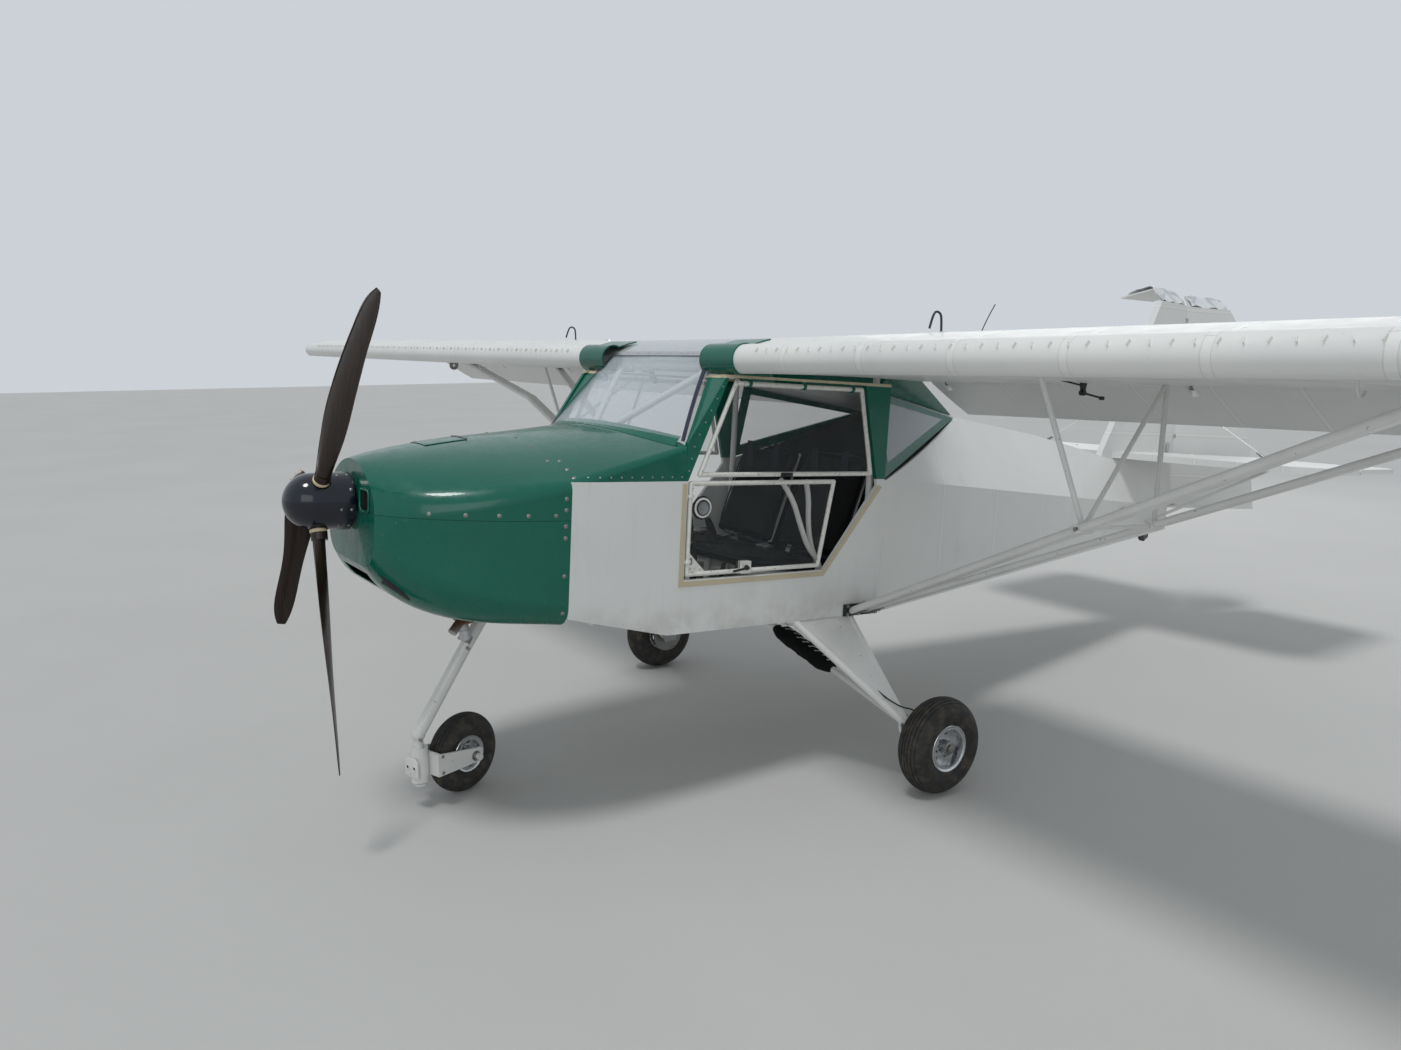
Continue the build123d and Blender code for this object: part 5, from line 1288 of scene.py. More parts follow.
class AIRCRAFT_OT_cabin_fit(bpy.types.Operator):
    """Instruments, compass, levers, pedals, stick grips and the parcel cloth"""
    bl_idname = "aircraft.cabin_fit"
    bl_label = "Cabin Fittings"

    def execute(self, context):
        aft = heading(-1, 0, 0.1)
        bezels, faces, marks, cans = [], [], [], []
        foot_x, foot_z, lean, height = PANEL_FACE
        for y, z, r in GAUGES:
            x = foot_x + lean * (z - foot_z) / height
            spot = at(x - 0.4, y, z)
            bezel = [(r * 0.86, 0), (r, 0), (r, 4), (r * 0.94, 6), (r * 0.86, 5)]
            bezels.append(turned(bezel, spot, aft, 36))
            faces.append(turned([(0, 0), (r * 0.87, 0), (r * 0.87, 1.6), (0, 1.6)], spot, aft, 32))
            can = [(0, 0), (r * 0.85, 0), (r * 0.85, 60), (r * 0.7, 66), (0, 66)]
            cans.append(turned(can, at(x + 14.5, y, z), -aft, 28))
            hand = heading(0, math.cos(y), math.sin(y))
            pivot = spot + aft * 0.0024
            marks.append(tube([pivot, pivot + hand * r * 0.0006], 0.0009, rings=1))
            dial = spot + aft * 0.002
            for k in range(10):
                a = math.radians(30 * k - 135)
                ray = heading(0, math.sin(a), math.cos(a))
                marks.append(tube([dial + ray * r * 0.00066, dial + ray * r * 0.0008], 0.0007, rings=0))
        keep(joined(bezels), "gauge_bezels", "dark")
        keep(joined(faces), "gauge_faces", "glass_dial")
        keep(joined(marks), "gauge_marks", "needle", smooth=0)
        keep(joined(cans), "gauge_cans", "black_steel")
        radio = [block(at(889, -70, 954), (0.02, 0.16, 0.038), 0.002)]
        for y in (-134, -8):
            radio.append(turned([(0, 0), (9, 0), (8, 14), (0, 15)], at(879, y, 953), aft, 20))
        keep(joined(radio), "radio_box", "panel")
        keep(block(at(878.6, -70, 957), (0.0012, 0.07, 0.018), 0.0003), "radio_window", "glass_dial")
        switches = []
        toggle = [(0, 0), (6, 0), (6, 3), (2, 4), (2.6, 14), (0, 15)]
        for k in range(6):
            switches.append(turned(toggle, at(888, 40 + 22 * k, 950), heading(-1, 0, 0.4), 14))
        keep(joined(switches), "panel_switches", "alloy")
        knob = [(0, 0), (4, 0), (4, 30), (13, 34), (15, 42), (10, 50), (0, 51)]
        knobs = [turned(knob, at(888, y, 1052), aft, 24) for y in (-290, 250)]
        keep(joined(knobs), "throttle_knobs", "red")
        bowl = [(0, 0), (26, 0), (32, 10), (33, 26), (29, 40), (16, 48), (0, 50)]
        keep(turned(bowl, at(925, 0, 1142), UP, 36), "compass", "panel")

        grips = []
        boots = []
        for side in (1, -1):
            up = (at(640, 0, 930) - at(600, 0, 760)).normalized()
            grips.append(turned(STICK_GRIP, at(640, side * SEAT_OUT, 930), up, 24))
            boot = [(13, 0), (44, 0), (46, 4), (34, 16), (37, 22), (26, 32), (28, 38), (13, 52)]
            boots.append(turned(boot, at(600, side * SEAT_OUT, FLOOR - 1), UP, 28))
        keep(joined(grips), "stick_grips", "dark")
        keep(joined(boots), "stick_boots", "cloth")
        pedals = []
        for side in (1, -1):
            for inner in (-70, 70):
                y = side * SEAT_OUT + inner
                pedals.append(tube([at(1080, y, FLOOR), at(1100, y, 660), at(1092, y, 730)], 0.008))
                pedals.append(tube([at(1092, y - 46, 732), at(1092, y + 46, 732)], 0.011))
        pedals.append(tube([at(1080, -330, 582), at(1080, 330, 582)], 0.012))
        keep(joined(pedals), "rudder_pedals", "tube")

        # Curved white levers behind the doors, and the flap lever between the seats
        levers = [tube([at(x, side * y, z) for x, z in path], 0.010, smooth=True)
                  for side in (1, -1) for y, path in SIDE_TUBES]
        keep(joined(levers), "door_side_tubes", "tube")
        top = at(380, 0, 840)
        keep(tube([at(330, 0, FLOOR), at(300, 0, 690), top], 0.010), "flap_lever", "black_steel")
        grip = [(10, -40), (14, -40), (15, 0), (11, 34), (0, 38), (0, 2), (10, 1)]
        keep(turned(grip, top, heading(80, 0, 150), 24), "flap_lever_grip", "dark")

        # Parcel cloth behind the seats, hung across the frame hoop with its starboard corner let down
        rows = []
        for t in shares(14):
            row = []
            for j in range(17):
                s = -1 + j / 8
                sag = 26 * math.sin(math.pi * t) * (1 - s * s * 0.7) + 5 * math.sin(9 * s + 5 * t)
                row.append(at(-78 - 30 * t - sag, 424 * s * (1 - 0.04 * t), 700 + (520 + 130 * s) * t))
            rows.append(row)
        cloth, area = cloth_sheet(rows, "parcel_cloth", "cloth")
        area / 0.86
        return {"FINISHED"}


# Seats

def swell(piece, cap):
    """Blow a closed cloth shape up a little with Cloth, and keep each point within the cap."""
    before = [v.co.copy() for v in piece.data.vertices]
    take(piece)
    cloth = piece.modifiers.new("Cloth", "CLOTH")
    cloth.settings.quality = 5
    cloth.settings.mass = 0.25
    cloth.settings.use_pressure = True
    cloth.settings.uniform_pressure_force = 4
    cloth.settings.effector_weights.gravity = 0
    cloth.collision_settings.use_collision = False
    for step in range(1, 17):
        bpy.context.scene.frame_set(step)
    bpy.ops.object.modifier_apply(modifier=cloth.name)
    bpy.context.scene.frame_set(1)
    for vertex, home in zip(piece.data.vertices, before):
        move = vertex.co - home
        if move.length > cap:
            vertex.co = home + move.normalized() * cap
    return piece


def cushion(length, width, deep, channels, cap):
    """A stuffed pad lying flat: pulled-in sides, crowned top, and sewn channels across it."""
    fresh()
    bpy.ops.mesh.primitive_cube_add(size=1, scale=(length - cap, width - cap, deep - cap))
    pad = settle(bpy.context.object)
    edit(pad, lambda: bpy.ops.mesh.bevel(offset=deep * 0.3, segments=4, affect="EDGES"),
         lambda: bpy.ops.mesh.subdivide(number_cuts=2))
    modify(pad, "REMESH", mode="VOXEL", voxel_size=0.0065)
    swell(pad, cap)
    half_l, half_w, half_d = length / 2, width / 2, deep / 2
    for vertex in pad.data.vertices:
        x, y, z = vertex.co
        pull = 1 - 0.02 * math.cos(x / half_l * 1.5) - 0.02 * math.cos(y / half_w * 1.5)
        dip = 0.0
        for line in channels:
            gap = abs(x - line * half_l)
            if gap < 0.012:
                dip += 0.006 * (1 - gap / 0.012) ** 2 * (1 - abs(y / half_w) ** 4)
        crown = 0.004 * (1 - (x / half_l) ** 2) * (1 - (y / half_w) ** 2)
        top = 1 if z > 0 else -0.3
        vertex.co = (x * pull, y * pull, max(-half_d, min(half_d, z + top * (crown - dip))))
    return modify(pad, "SUBSURF", levels=1, render_levels=1)


def piping(length, width, drop):
    """Sewn cord round the edge of a pad."""
    points = []
    for k in range(48):
        a = math.tau * k / 48
        c, s = math.cos(a), math.sin(a)
        reach = (abs(c) ** 6 + abs(s) ** 6) ** (-1 / 6)
        points.append(Vector((c * reach * length / 2 * 0.97, s * reach * width / 2 * 0.97, drop)))
    return tube(points, 0.0032, closed=True, smooth=True)


SEAT_PARTS = (
    ("cushion", (280, 739), (0.470, 0.385, 0.046), math.atan2(52, 480), (-0.45, 0.0, 0.45)),
    ("back", (-17, 945), (0.425, 0.385, 0.044), math.atan2(445, -158), (-0.55, -0.15, 0.25)),
)


class AIRCRAFT_OT_seats(bpy.types.Operator):
    """Padded seats with piping, their legs and lap belts"""
    bl_idname = "aircraft.seats"
    bl_label = "Seats"

    def execute(self, context):
        cap = context.scene.aircraft_sizes.cushion_swell
        for kind, (x, z), (length, width, deep), tilt, channels in SEAT_PARTS:
            pad = cushion(length, width, deep, channels, cap)
            edge = piping(length, width, 0.006)
            for side, name in SIDES:
                stand = (BODY @ Matrix.Translation((x / 1000, side * SEAT_OUT / 1000, z / 1000))
                         @ Matrix.Rotation(-tilt, 4, "Y"))
                if kind == "back":
                    stand = stand @ Matrix.Rotation(math.pi, 4, "X")
                copy = twin_of(pad)
                copy.matrix_world = stand
                keep(copy, f"seat_{kind}_{name}", "cloth", smooth=60)
                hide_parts("seats")
                copy = twin_of(edge)
                copy.matrix_world = stand
                keep(copy, f"seat_piping_{kind}_{name}", "belt", smooth=60)
            bpy.data.objects.remove(pad)
            bpy.data.objects.remove(edge)
        legs = []
        foot = [(0, 0), (26, 0), (26, 3), (16, 5), (0, 5)]
        for side in (1, -1):
            left, right = side * SEAT_OUT - 150, side * SEAT_OUT + 150
            for x, z in ((430, 730), (120, 697)):
                for y in (left, right):
                    legs.append(tube([at(x, y, FLOOR - 1), at(x, y, z)], 0.0135))
                    legs.append(turned(foot, at(x, y, FLOOR - 1.7), UP, 24))
            for y in (left, right):
                rail = [at(510, y, 726), at(60, y, 678), at(20, y, 740), at(-112, y, 1120)]
                legs.append(tube(rail, 0.009, smooth=True))
            legs.append(tube([at(430, left, 640), at(430, right, 640)], 0.008))
        frame_piece = keep(joined(legs), "seat_frames", "tube")
        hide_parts("seats")
        straps = []
        buckles = []
        for side in (1, -1):
            for hand in (1, -1):
                rows = []
                for t in shares(14):
                    x = 70 + 190 * t + 14 * math.sin(3 * t)
                    y = side * SEAT_OUT + hand * (196 - 170 * t - 12 * math.sin(6 * t))
                    z = 742 + 30 * math.sin(math.pi * min(1, t * 1.2)) + 16 * t
                    rows.append([at(x - 22, y, z - 2), at(x, y, z), at(x + 22, y, z + 1)])
                straps.append(edit(patch(rows, 0.0018, 0), outward))
                rows = []
                for t in shares(16):
                    x = -78 + 105 * t - 26 * math.sin(math.pi * t)
                    y = side * SEAT_OUT + hand * (92 - 30 * t)
                    z = 1160 - 400 * t
                    rows.append([at(x + 42 - 30 * t, y - 22, z), at(x + 44 - 30 * t, y + 22, z)])
                straps.append(edit(patch(rows, 0.0018, 0), outward))
            buckles.append(block(at(268, side * SEAT_OUT, 785), (0.052, 0.05, 0.014), 0.003))
        keep(joined(straps), "seat_belts", "belt")
        keep(joined(buckles), "belt_buckles", "steel")
        return {"FINISHED"}


# Doors

LOWER_RIVETS = (((812, 1045), (812, 775)), ((800, 764), (260, 764)), ((250, 780), (206, 1035)),
                ((215, 1054), (795, 1054)))
UPPER_RIVETS = (((656, 1398), (786, 1090)), ((770, 1090), (30, 1090)), ((12, 1105), (80, 1385)))
PANEL_RIVETS = (((848, 735), (848, 1060)), ((838, 726), (224, 726)), ((212, 742), (-30, 1030)))
# Outer and inner line of the cream strip round the doorway
JAMB = (((856, 1061), (856, 716), (217, 716), (-48, 1040)),
        ((838, 1061), (838, 734), (227, 734), (-28, 1048)))
# The ring vent in the lower leaf
VENT = (770, 980)


def along_lines(lines, pitch, lead=0.0):
    """Even places along lines in the door's plane, the first and last a share of a step from the ends."""
    spots = []
    for start, end in lines:
        count = max(2, int(math.hypot(end[0] - start[0], end[1] - start[1]) / pitch))
        for k in range(count + 1):
            spots.append([a + (b - a) * (k + lead) / (count + 2 * lead) for a, b in zip(start, end)])
    return spots


class AIRCRAFT_OT_door_trim(bpy.types.Operator):
    """Latches, catches, vents and rivets of the four door leaves, and the strips round the doorways"""
    bl_idname = "aircraft.door_trim"
    bl_label = "Door Trim"

    def execute(self, context):
        for side, name in SIDES:
            out = heading(0, side, 0)
            lower, upper = "door_lower_" + name, "door_upper_" + name
            handle = [at(580, side * 516, 769), at(618, side * 518, 764), at(640, side * 514, 760)]
            latch = [
                turned([(0, 0), (9, 0), (9, 6), (6, 8), (6, 14), (0, 14)], at(580, side * 506, 769), out, 24),
                tube(handle, 0.0042, smooth=True),
                block(at(580, side * 478, 769), (0.05, 0.006, 0.03), 0.001),
            ]
            keep(joined(latch), "lower_latch_" + name, "black_steel", lower)
            x, z = VENT
            ring = [(26, 0), (40, 0), (40, 1.5), (36, 3), (30, 3.5), (26, 3)]
            scoop = [
                turned(ring, at(x, side * 493.8, z), out, 44),
                turned([(25.8, 0), (25.8, 8), (23, 9), (24, 2), (24, 0)], at(x, side * 496, z), out, 44),
            ]
            keep(joined(scoop), "vent_ring_" + name, "dark", lower)
            flap = [(0, 0), (23.4, 0), (23.4, 1.6), (4, 2.2), (4, 7), (0, 8)]
            flap = turned(flap, at(x, side * 498, z), heading(0.35, side, 0.25), 40)
            keep(flap, "vent_flap_" + name, "quarter", lower)
            heads = [(at(x, side * 499.2, z), out) for x, z in along_lines(LOWER_RIVETS, 68)]
            for x, z in ((806, 776), (790, 776), (806, 792), (770, 772), (806, 812)):
                heads.append((at(x, side * 496.4, z), out))
            keep(scatter(rivet_head(0.0026, 0.0013), heads), "lower_door_rivets_" + name, "alloy", lower)
            heads = [(at(x, side * 499.6, z), out) for x, z in along_lines(UPPER_RIVETS, 68, 0.2)]
            keep(scatter(rivet_head(0.0026, 0.0013), heads), "upper_door_rivets_" + name, "alloy", upper)
            hook = [at(400, side * 508, 1090), at(432, side * 514, 1090), at(448, side * 508, 1090)]
            catch = [
                block(at(420, side * 503, 1090), (0.05, 0.008, 0.014), 0.0015),
                tube(hook, 0.0035, smooth=True),
            ]
            keep(joined(catch), "upper_catch_" + name, "black_steel", upper)
            rim = [(at(x, side * 500, z), out) for x, z in along_lines(PANEL_RIVETS, 58)]
            for x in range(880, 1250, 62):
                rim.append((at(x, side * 500, 1056), out))
                low = 572 + (86 * (x - 893) / 369 if x > 893 else 0)
                rim.append((at(x, side * 500, low), out))
            for k in range(7):
                rim.append((at(1250, side * 500, 666 + 62 * k), out))
            keep(scatter(rivet_head(0.0024, 0.0009), rim), "side_panel_rivets_" + name, "strut")
            rows = []
            for (x0, z0), (x1, z1) in zip(*JAMB):
                rows.append([at(x0, side * 500.4, z0), at(x0, side * 502, z0), at(x1, side * 502, z1),
                             at(x1, side * 500.4, z1)])
            keep(edit(patch(rows), outward), "door_jamb_" + name, "cream", smooth=0)
        return {"FINISHED"}


# Landing gear

def tyre_profile(radius, half, bore, grooves, depth):
    """Half-closed outline of a ribbed tyre, (radius, along)."""
    edge = radius - 22
    side = half - 12
    bend = (side ** 2 + 22 ** 2) / 44
    wall = bore + 0.45 * (radius - bore)
    right = []
    for groove, wide in grooves:
        for along, cut in ((groove - wide, 0), (groove - wide + 0.9, depth), (groove + wide - 0.9, depth),
                           (groove + wide, 0)):
            if along > 0.01:
                right.append((radius - bend + math.sqrt(bend ** 2 - along ** 2) - cut, along))
    right.append((edge, side))
    for share, inset in ((0.35, 5), (0.4, 4), (0.7, 1)):
        right.append((edge - (edge - wall) * share, half - inset))
    right.append((wall, half))
    for share, inset in ((0.35, 1.6), (0.4, 2.8), (0.75, 8)):
        right.append((wall - (wall - bore) * share, half - inset))
    right += [(bore + 3, half - 14), (bore, half - 16)]
    left = [(r, -a) for r, a in reversed(right)]
    return left + right


# Height of the main axles, and how far out the main wheels and brake discs stand
AXLE = 172
WHEEL_OUT = 920
DISC_OUT = 842
# The nose fork's turn, how far its wheel trails behind it, and the height of that wheel's axle
FORK_TURN = math.radians(19)
FORK_TRAIL = 190
NOSE_AXLE = 142
MAIN_GROOVES = ((0, 2.6), (13, 2.4), (26, 2.4), (38, 2.0))
NOSE_GROOVES = ((0, 2.2), (10, 2.0), (20, 1.8), (29, 1.6))
# Radius, half width and bore of the tyres
MAIN_TYRE = (172, 62, 80)
NOSE_TYRE = (142, 48, 62)
DISC = [(27, -1.8), (78, -1.8), (78, 1.8), (33, 1.8), (30, 4),
        (30, 27), (20, 27), (20, 24), (26, 22), (27, 0)]
# The port brake line's points from the calliper to the cabin, on the parked machine
BRAKE_LINE = ((26, 838, 268), (40, 832, 286), (74, 806, 290),
              (110, 730, 330), (150, 610, 436), (176, 520, 530))


class AIRCRAFT_OT_wheels(bpy.types.Operator):
    """Grooved tyres, wheel bolts, valve stems, brake discs and callipers, axle nuts"""
    bl_idname = "aircraft.wheels"
    bl_label = "Wheels and Brakes"

    def execute(self, context):
        depth = context.scene.aircraft_sizes.groove_depth * 1000
        spots = [("main_tyre_" + name, "wheel_" + name, ground(0, side * WHEEL_OUT, AXLE),
                  Vector((0, side, 0)), MAIN_TYRE, MAIN_GROOVES) for side, name in SIDES]
        spots.append(("nose_tyre", "nose_wheel", ground(1372, -FORK_TRAIL * math.sin(FORK_TURN), NOSE_AXLE),
                      Vector((-math.sin(FORK_TURN), math.cos(FORK_TURN), 0)), NOSE_TYRE, NOSE_GROOVES))
        for node, body, centre, axle, (radius, half, bore), grooves in spots:
            tyre = turned(tyre_profile(radius, half, bore, grooves, depth), centre, axle, 72)
            keep(tyre, "ribbed_" + node, "rubber", body, 28)
            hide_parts(node)
            label = node.replace("tyre", "wheel")
            face = half - 14
            for hand, tag in ((1, "_outer"), (-1, "_inner")):
                lip = [(bore - 3, face - 2), (bore + 2.5, face), (bore + 4, face + 2.2),
                       (bore + 2.5, face + 3.6), (bore - 2, face + 2.6), (bore - 5, face)]
                keep(turned(lip, centre, axle * hand, 64), label + tag + "_lip", "polished", body)
            across = axle.cross(Vector((0, 0, 1))).normalized()
            heads = []
            for k in range(6):
                a = math.radians(60 * k + 30)
                ray = Vector((0, 0, 1)) * math.cos(a) + across * math.sin(a)
                heads.append((centre + ray * bore * 0.00060 + axle * 0.0098, axle))
            keep(scatter(bolt_head(0.005, 0.005), heads, 0.5), label + "_bolts", "steel", body)
            root = centre + across * (bore - 14) * 0.001 + axle * 0.012
            stem = [root, root + axle * 0.02 - across * 0.004, root + axle * 0.032 - across * 0.012]
            keep(tube(stem, 0.0034, smooth=True), label + "_valve", "dark", body)
            cap = [(14, 0), (24, 0), (25, 3), (21, 5), (14, 5)]
            cap = turned(cap, centre + axle * (face / 1000 - 0.001), axle, 32)
            keep(cap, label + "_seal", "steel", body)
        nuts = []
        for side, name in SIDES:
            out = Vector((0, side, 0))
            washer = [(0, 0), (17, 0), (17, 1.6), (0, 1.6)]
            nuts.append(turned(washer, ground(0, side * 969.6, AXLE), out, 28))
            fresh()
            bpy.ops.mesh.primitive_cylinder_add(vertices=6, radius=0.0155, depth=0.0085)
            nut = settle(bpy.context.object)
            break_edges(nut, 0.0012)
            nuts.append(turned_to(nut, ground(0, side * 975.4, AXLE), out))
            nuts.append(tube([ground(-15, side * 977, AXLE), ground(15, side * 977, AXLE)], 0.0011, rings=1))
            disc = turned(DISC, ground(0, side * DISC_OUT, AXLE), out, 56)
            keep(disc, "brake_disc_" + name, "steel", "wheel_" + name)
            pads = []
            for gap, deep in ((-9.5, 13), (7.2, 7)):
                spot = ground(8, side * (DISC_OUT + gap), AXLE + 57)
                pads.append(block(spot, (0.052, deep / 1000, 0.05), 0.003, (0, 0, 1)))
            bridge = ground(8, side * (DISC_OUT - 1), AXLE + 85)
            pads.append(block(bridge, (0.046, 0.03, 0.007), 0.002, (0, 0, 1)))
            piston = ground(8, side * (DISC_OUT - 15), AXLE + 57)
            cap = [(0, 0), (13, 0), (13, 4), (10, 6), (0, 6)]
            pads.append(turned(cap, piston, Vector((0, -side, 0)), 24))
            union = ground(26, side * (DISC_OUT - 4), AXLE + 88)
            pads.append(turned([(0, 0), (4, 0), (4, 9), (2, 12), (0, 12)], union, Vector((0, 0, 1)), 14))
            calliper = keep(joined(pads), "brake_calliper_" + name, "black_steel")
            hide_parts("brakes")
            hose = [ground(x, side * y, z) for x, y, z in BRAKE_LINE]
            keep(tube(hose, 0.0028, smooth=True), "brake_line_" + name, "dark")
        keep(joined(nuts), "axle_nuts", "steel")
        return {"FINISHED"}


# Upper and lower eye of the port bungee spring, and where its cover starts and how long it is, in metres
COVER_TOP = (112, 64, 446)
COVER_LOW = (70, 826, 226)
COVER_START = 0.060
COVER_LENGTH = 0.340
# Where the nose fork turns, and where its leg bends
FORK_X = 1551.65
LEG_BEND = (1392, 452)
AXLE_PLATE_OUT = 809
AXLE_PLATE = ((-30, 150), (34, 146), (64, 214), (48, 262), (-4, 214), (-30, 200))


def drawn_in(row, share):
    """A closed ring of points drawn in towards its middle."""
    middle = sum(row[:-1], Vector()) / (len(row) - 1)
    return [middle + (p - middle) * share for p in row]


class AIRCRAFT_OT_gear_trim(bpy.types.Operator):
    """Laced covers over the bungee springs, brackets and bolts of the landing gear"""
    bl_idname = "aircraft.gear_trim"
    bl_label = "Gear Trim"

    def execute(self, context):
        top, low = at(*COVER_TOP), at(*COVER_LOW)
        along = (low - top).normalized()
        fore = (FORE - along * FORE.dot(along)).normalized()
        across = along.cross(fore)
        rows = []
        for t in shares(30):
            reach = COVER_START + COVER_LENGTH * t
            pinch = min(1, 0.52 + 3.4 * t, 0.52 + 3.4 * (1 - t))
            fold = 1 + 0.035 * math.sin(26 * t) + 0.02 * math.sin(61 * t + 1)
            row = []
            for j in range(25):
                a = math.tau * j / 24
                ripple = 1 + 0.03 * math.sin(5 * a + 9 * t) * pinch
                row.append(top + along * reach + fore * (0.0465 * math.cos(a) * pinch * fold * ripple)
                           + across * (0.0285 * math.sin(a) * pinch * fold * ripple))
            rows.append(row)
        for share in (0.34, 0.001):
            rows = [drawn_in(rows[0], share), *rows, drawn_in(rows[-1], share)]
        cover = edit(patch(rows), weld(0.0003), outward)
        modify(cover, "REMESH", mode="VOXEL", voxel_size=0.005)
        swell(cover, 0.0015)
        modify(cover, "SUBSURF", levels=1, render_levels=1)
        laces = []
        for k in range(9):
            t = 0.08 + 0.84 * k / 8
            spot = top + along * (COVER_START + COVER_LENGTH * t)
            side = across * -1
            left = spot + side * 0.0285 + fore * 0.012
            right = spot + side * 0.0285 - fore * 0.012 + along * 0.018
            laces.append(tube([left, spot + side * 0.0318 + along * 0.009, right], 0.0014, rings=1))
            for end in (left, right):
                laces.append(turned([(1.6, 0), (3.4, 0), (3.4, 0.9), (1.6, 0.9)], end, side, 12))
        lace = joined(laces)
        for piece, label, finish in ((cover, "bungee_cover_", "cloth"), (lace, "cover_lacing_", "strut")):
            twin = mirrored(piece)
            for made, name in ((piece, "port"), (twin, "starboard")):
                keep(made, label + name, finish, smooth=60)
                if label == "bungee_cover_":
                    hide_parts("bungee_covers")
        collars = []
        bolts = []
        for side in (1, -1):
            for x in (344, 64):
                collars.append(block(at(x, side * 462, 552), (0.046, 0.06, 0.009), 0.0015))
                for dy in (-20, 20):
                    bolts.append((at(x + 14, side * 462 + dy, 548), DOWN))
                    bolts.append((at(x - 14, side * 462 + dy, 548), DOWN))
                pin = [(0, -21), (10, -21), (10, 21), (0, 21)]
                collars.append(turned(pin, at(x, side * 463, 540), FORE, 24))
            x, y, z = COVER_LOW
            bolts.append((at(x + 19, side * y, z), FORE))
            bolts.append((at(x, side * y, z - 19), DOWN))
            x, y, z = COVER_TOP
            bolts.append((at(x + 18, side * y, z), FORE))
            for x in (40, 190):
                collars.append(block(at(x, side * 210, 551), (0.04, 0.05, 0.009), 0.0015))
                bolts.append((at(x, side * 210 + 14, 547), DOWN))
                bolts.append((at(x, side * 210 - 14, 547), DOWN))
        keep(joined(collars), "gear_brackets", "strut")
        keep(scatter(bolt_head(0.0058, 0.005), bolts, 0.4), "gear_bolts", "steel")
        plates = [plate([ground(x, side * AXLE_PLATE_OUT, z) for x, z in AXLE_PLATE], 0.004, 0.001)
                  for side in (1, -1)]
        keep(joined(plates), "axle_plates", "alloy")

        # Nose leg: collar at the bend, pinch bolt, stop and the two-hole bracket of the fork
        x, rise = LEG_BEND[0], LEG_BEND[1] - AXLE
        bend = ground(x * math.cos(PARK) - rise * math.sin(PARK), 0,
                      AXLE + x * math.sin(PARK) + rise * math.cos(PARK))
        leg_way = ground(1272, 0, 700) - ground(1392, 0, 500)
        collar = [(22.3, -13), (25.5, -13), (25.5, 13), (22.3, 13)]
        parts = [
            turned(collar, bend + Vector((-0.004, 0, 0.03)), leg_way, 36),
            tube([bend + Vector((0, -0.031, 0)), bend + Vector((0, 0.031, 0))], 0.006),
            tube([ground(FORK_X, -34, 251), ground(FORK_X, 34, 251)], 0.0055),
        ]
        keep(joined(parts), "nose_leg_collars", "steel")
        turn = Matrix.Translation(ground(FORK_X, 0, 0)) @ Matrix.Rotation(FORK_TURN, 4, "Z")
        ahead = turn.to_3x3() @ Vector((1, 0, 0))

        def fork(x, y, z):
            return turn @ Vector((x / 1000, y / 1000, z / 1000))

        outline = ((-34, 122), (34, 122), (34, 178), (22, 190), (-22, 190), (-34, 178))
        bracket = plate([fork(31.5, y, z) for y, z in outline], 0.005, 0.0012)
        rim, disc = [(5.5, 0), (9.5, 0), (9.5, 2), (5.5, 2)], [(0, 0), (5.4, 0), (5.4, 1), (0, 1)]
        rings = [turned(rim, fork(34, y, 156), ahead, 24) for y in (-17, 17)]
        keep(joined([bracket, *rings]), "fork_bracket", "strut", "nose_fork")
        # Painted shade: dark discs stand for the two holes of the bracket
        holes = [turned(disc, fork(34, y, 156), ahead, 20) for y in (-17, 17)]
        keep(joined(holes), "fork_bracket_holes", "dark", "nose_fork")
        washers = []
        for hand in (1, -1):
            way = turn.to_3x3() @ Vector((0, hand, 0))
            washer, nut = [(11.2, 0), (18, 0), (18, 2), (11.2, 2)], [(11.2, 0), (15, 0), (14, 7), (11.2, 8)]
            washers.append(turned(washer, fork(-FORK_TRAIL, hand * 70.2, NOSE_AXLE), way, 28))
            washers.append(turned(nut, fork(-FORK_TRAIL, hand * 72.2, NOSE_AXLE), way, 6))
            pin = [fork(-FORK_TRAIL + reach, hand * 88, NOSE_AXLE) for reach in (-14, 14)]
            washers.append(tube(pin, 0.0012, rings=1))
            head = [(0, 0), (6, 0), (6, 3.5), (4, 4.5), (0, 4.5)]
            for z in (128, 186):
                washers.append(turned(head, fork(-44, hand * 70, z), way, 6))
        keep(joined(washers), "fork_hardware", "steel", "nose_fork")
        return {"FINISHED"}


# Tail

# The rudder's hinge line, how far it is turned, and the height and reach of its horn
RUDDER_HINGE_X = -2782
RUDDER_TURN = math.radians(-20)
HORN_Z = 862
HORN_REACH = 82
# Where the tail braces are fixed, and how far out on the stabilizers
BRACE_X = -2540
BRACE_OUT = 696
HORN_PLATE = ((10, 13), (-34, 13), (-20, 84), (0, 92), (12, 84))
ELEVATOR_HORN = ((-2700, 1146), (-2716, 1146), (-2722, 1196), (-2710, 1204), (-2698, 1196))


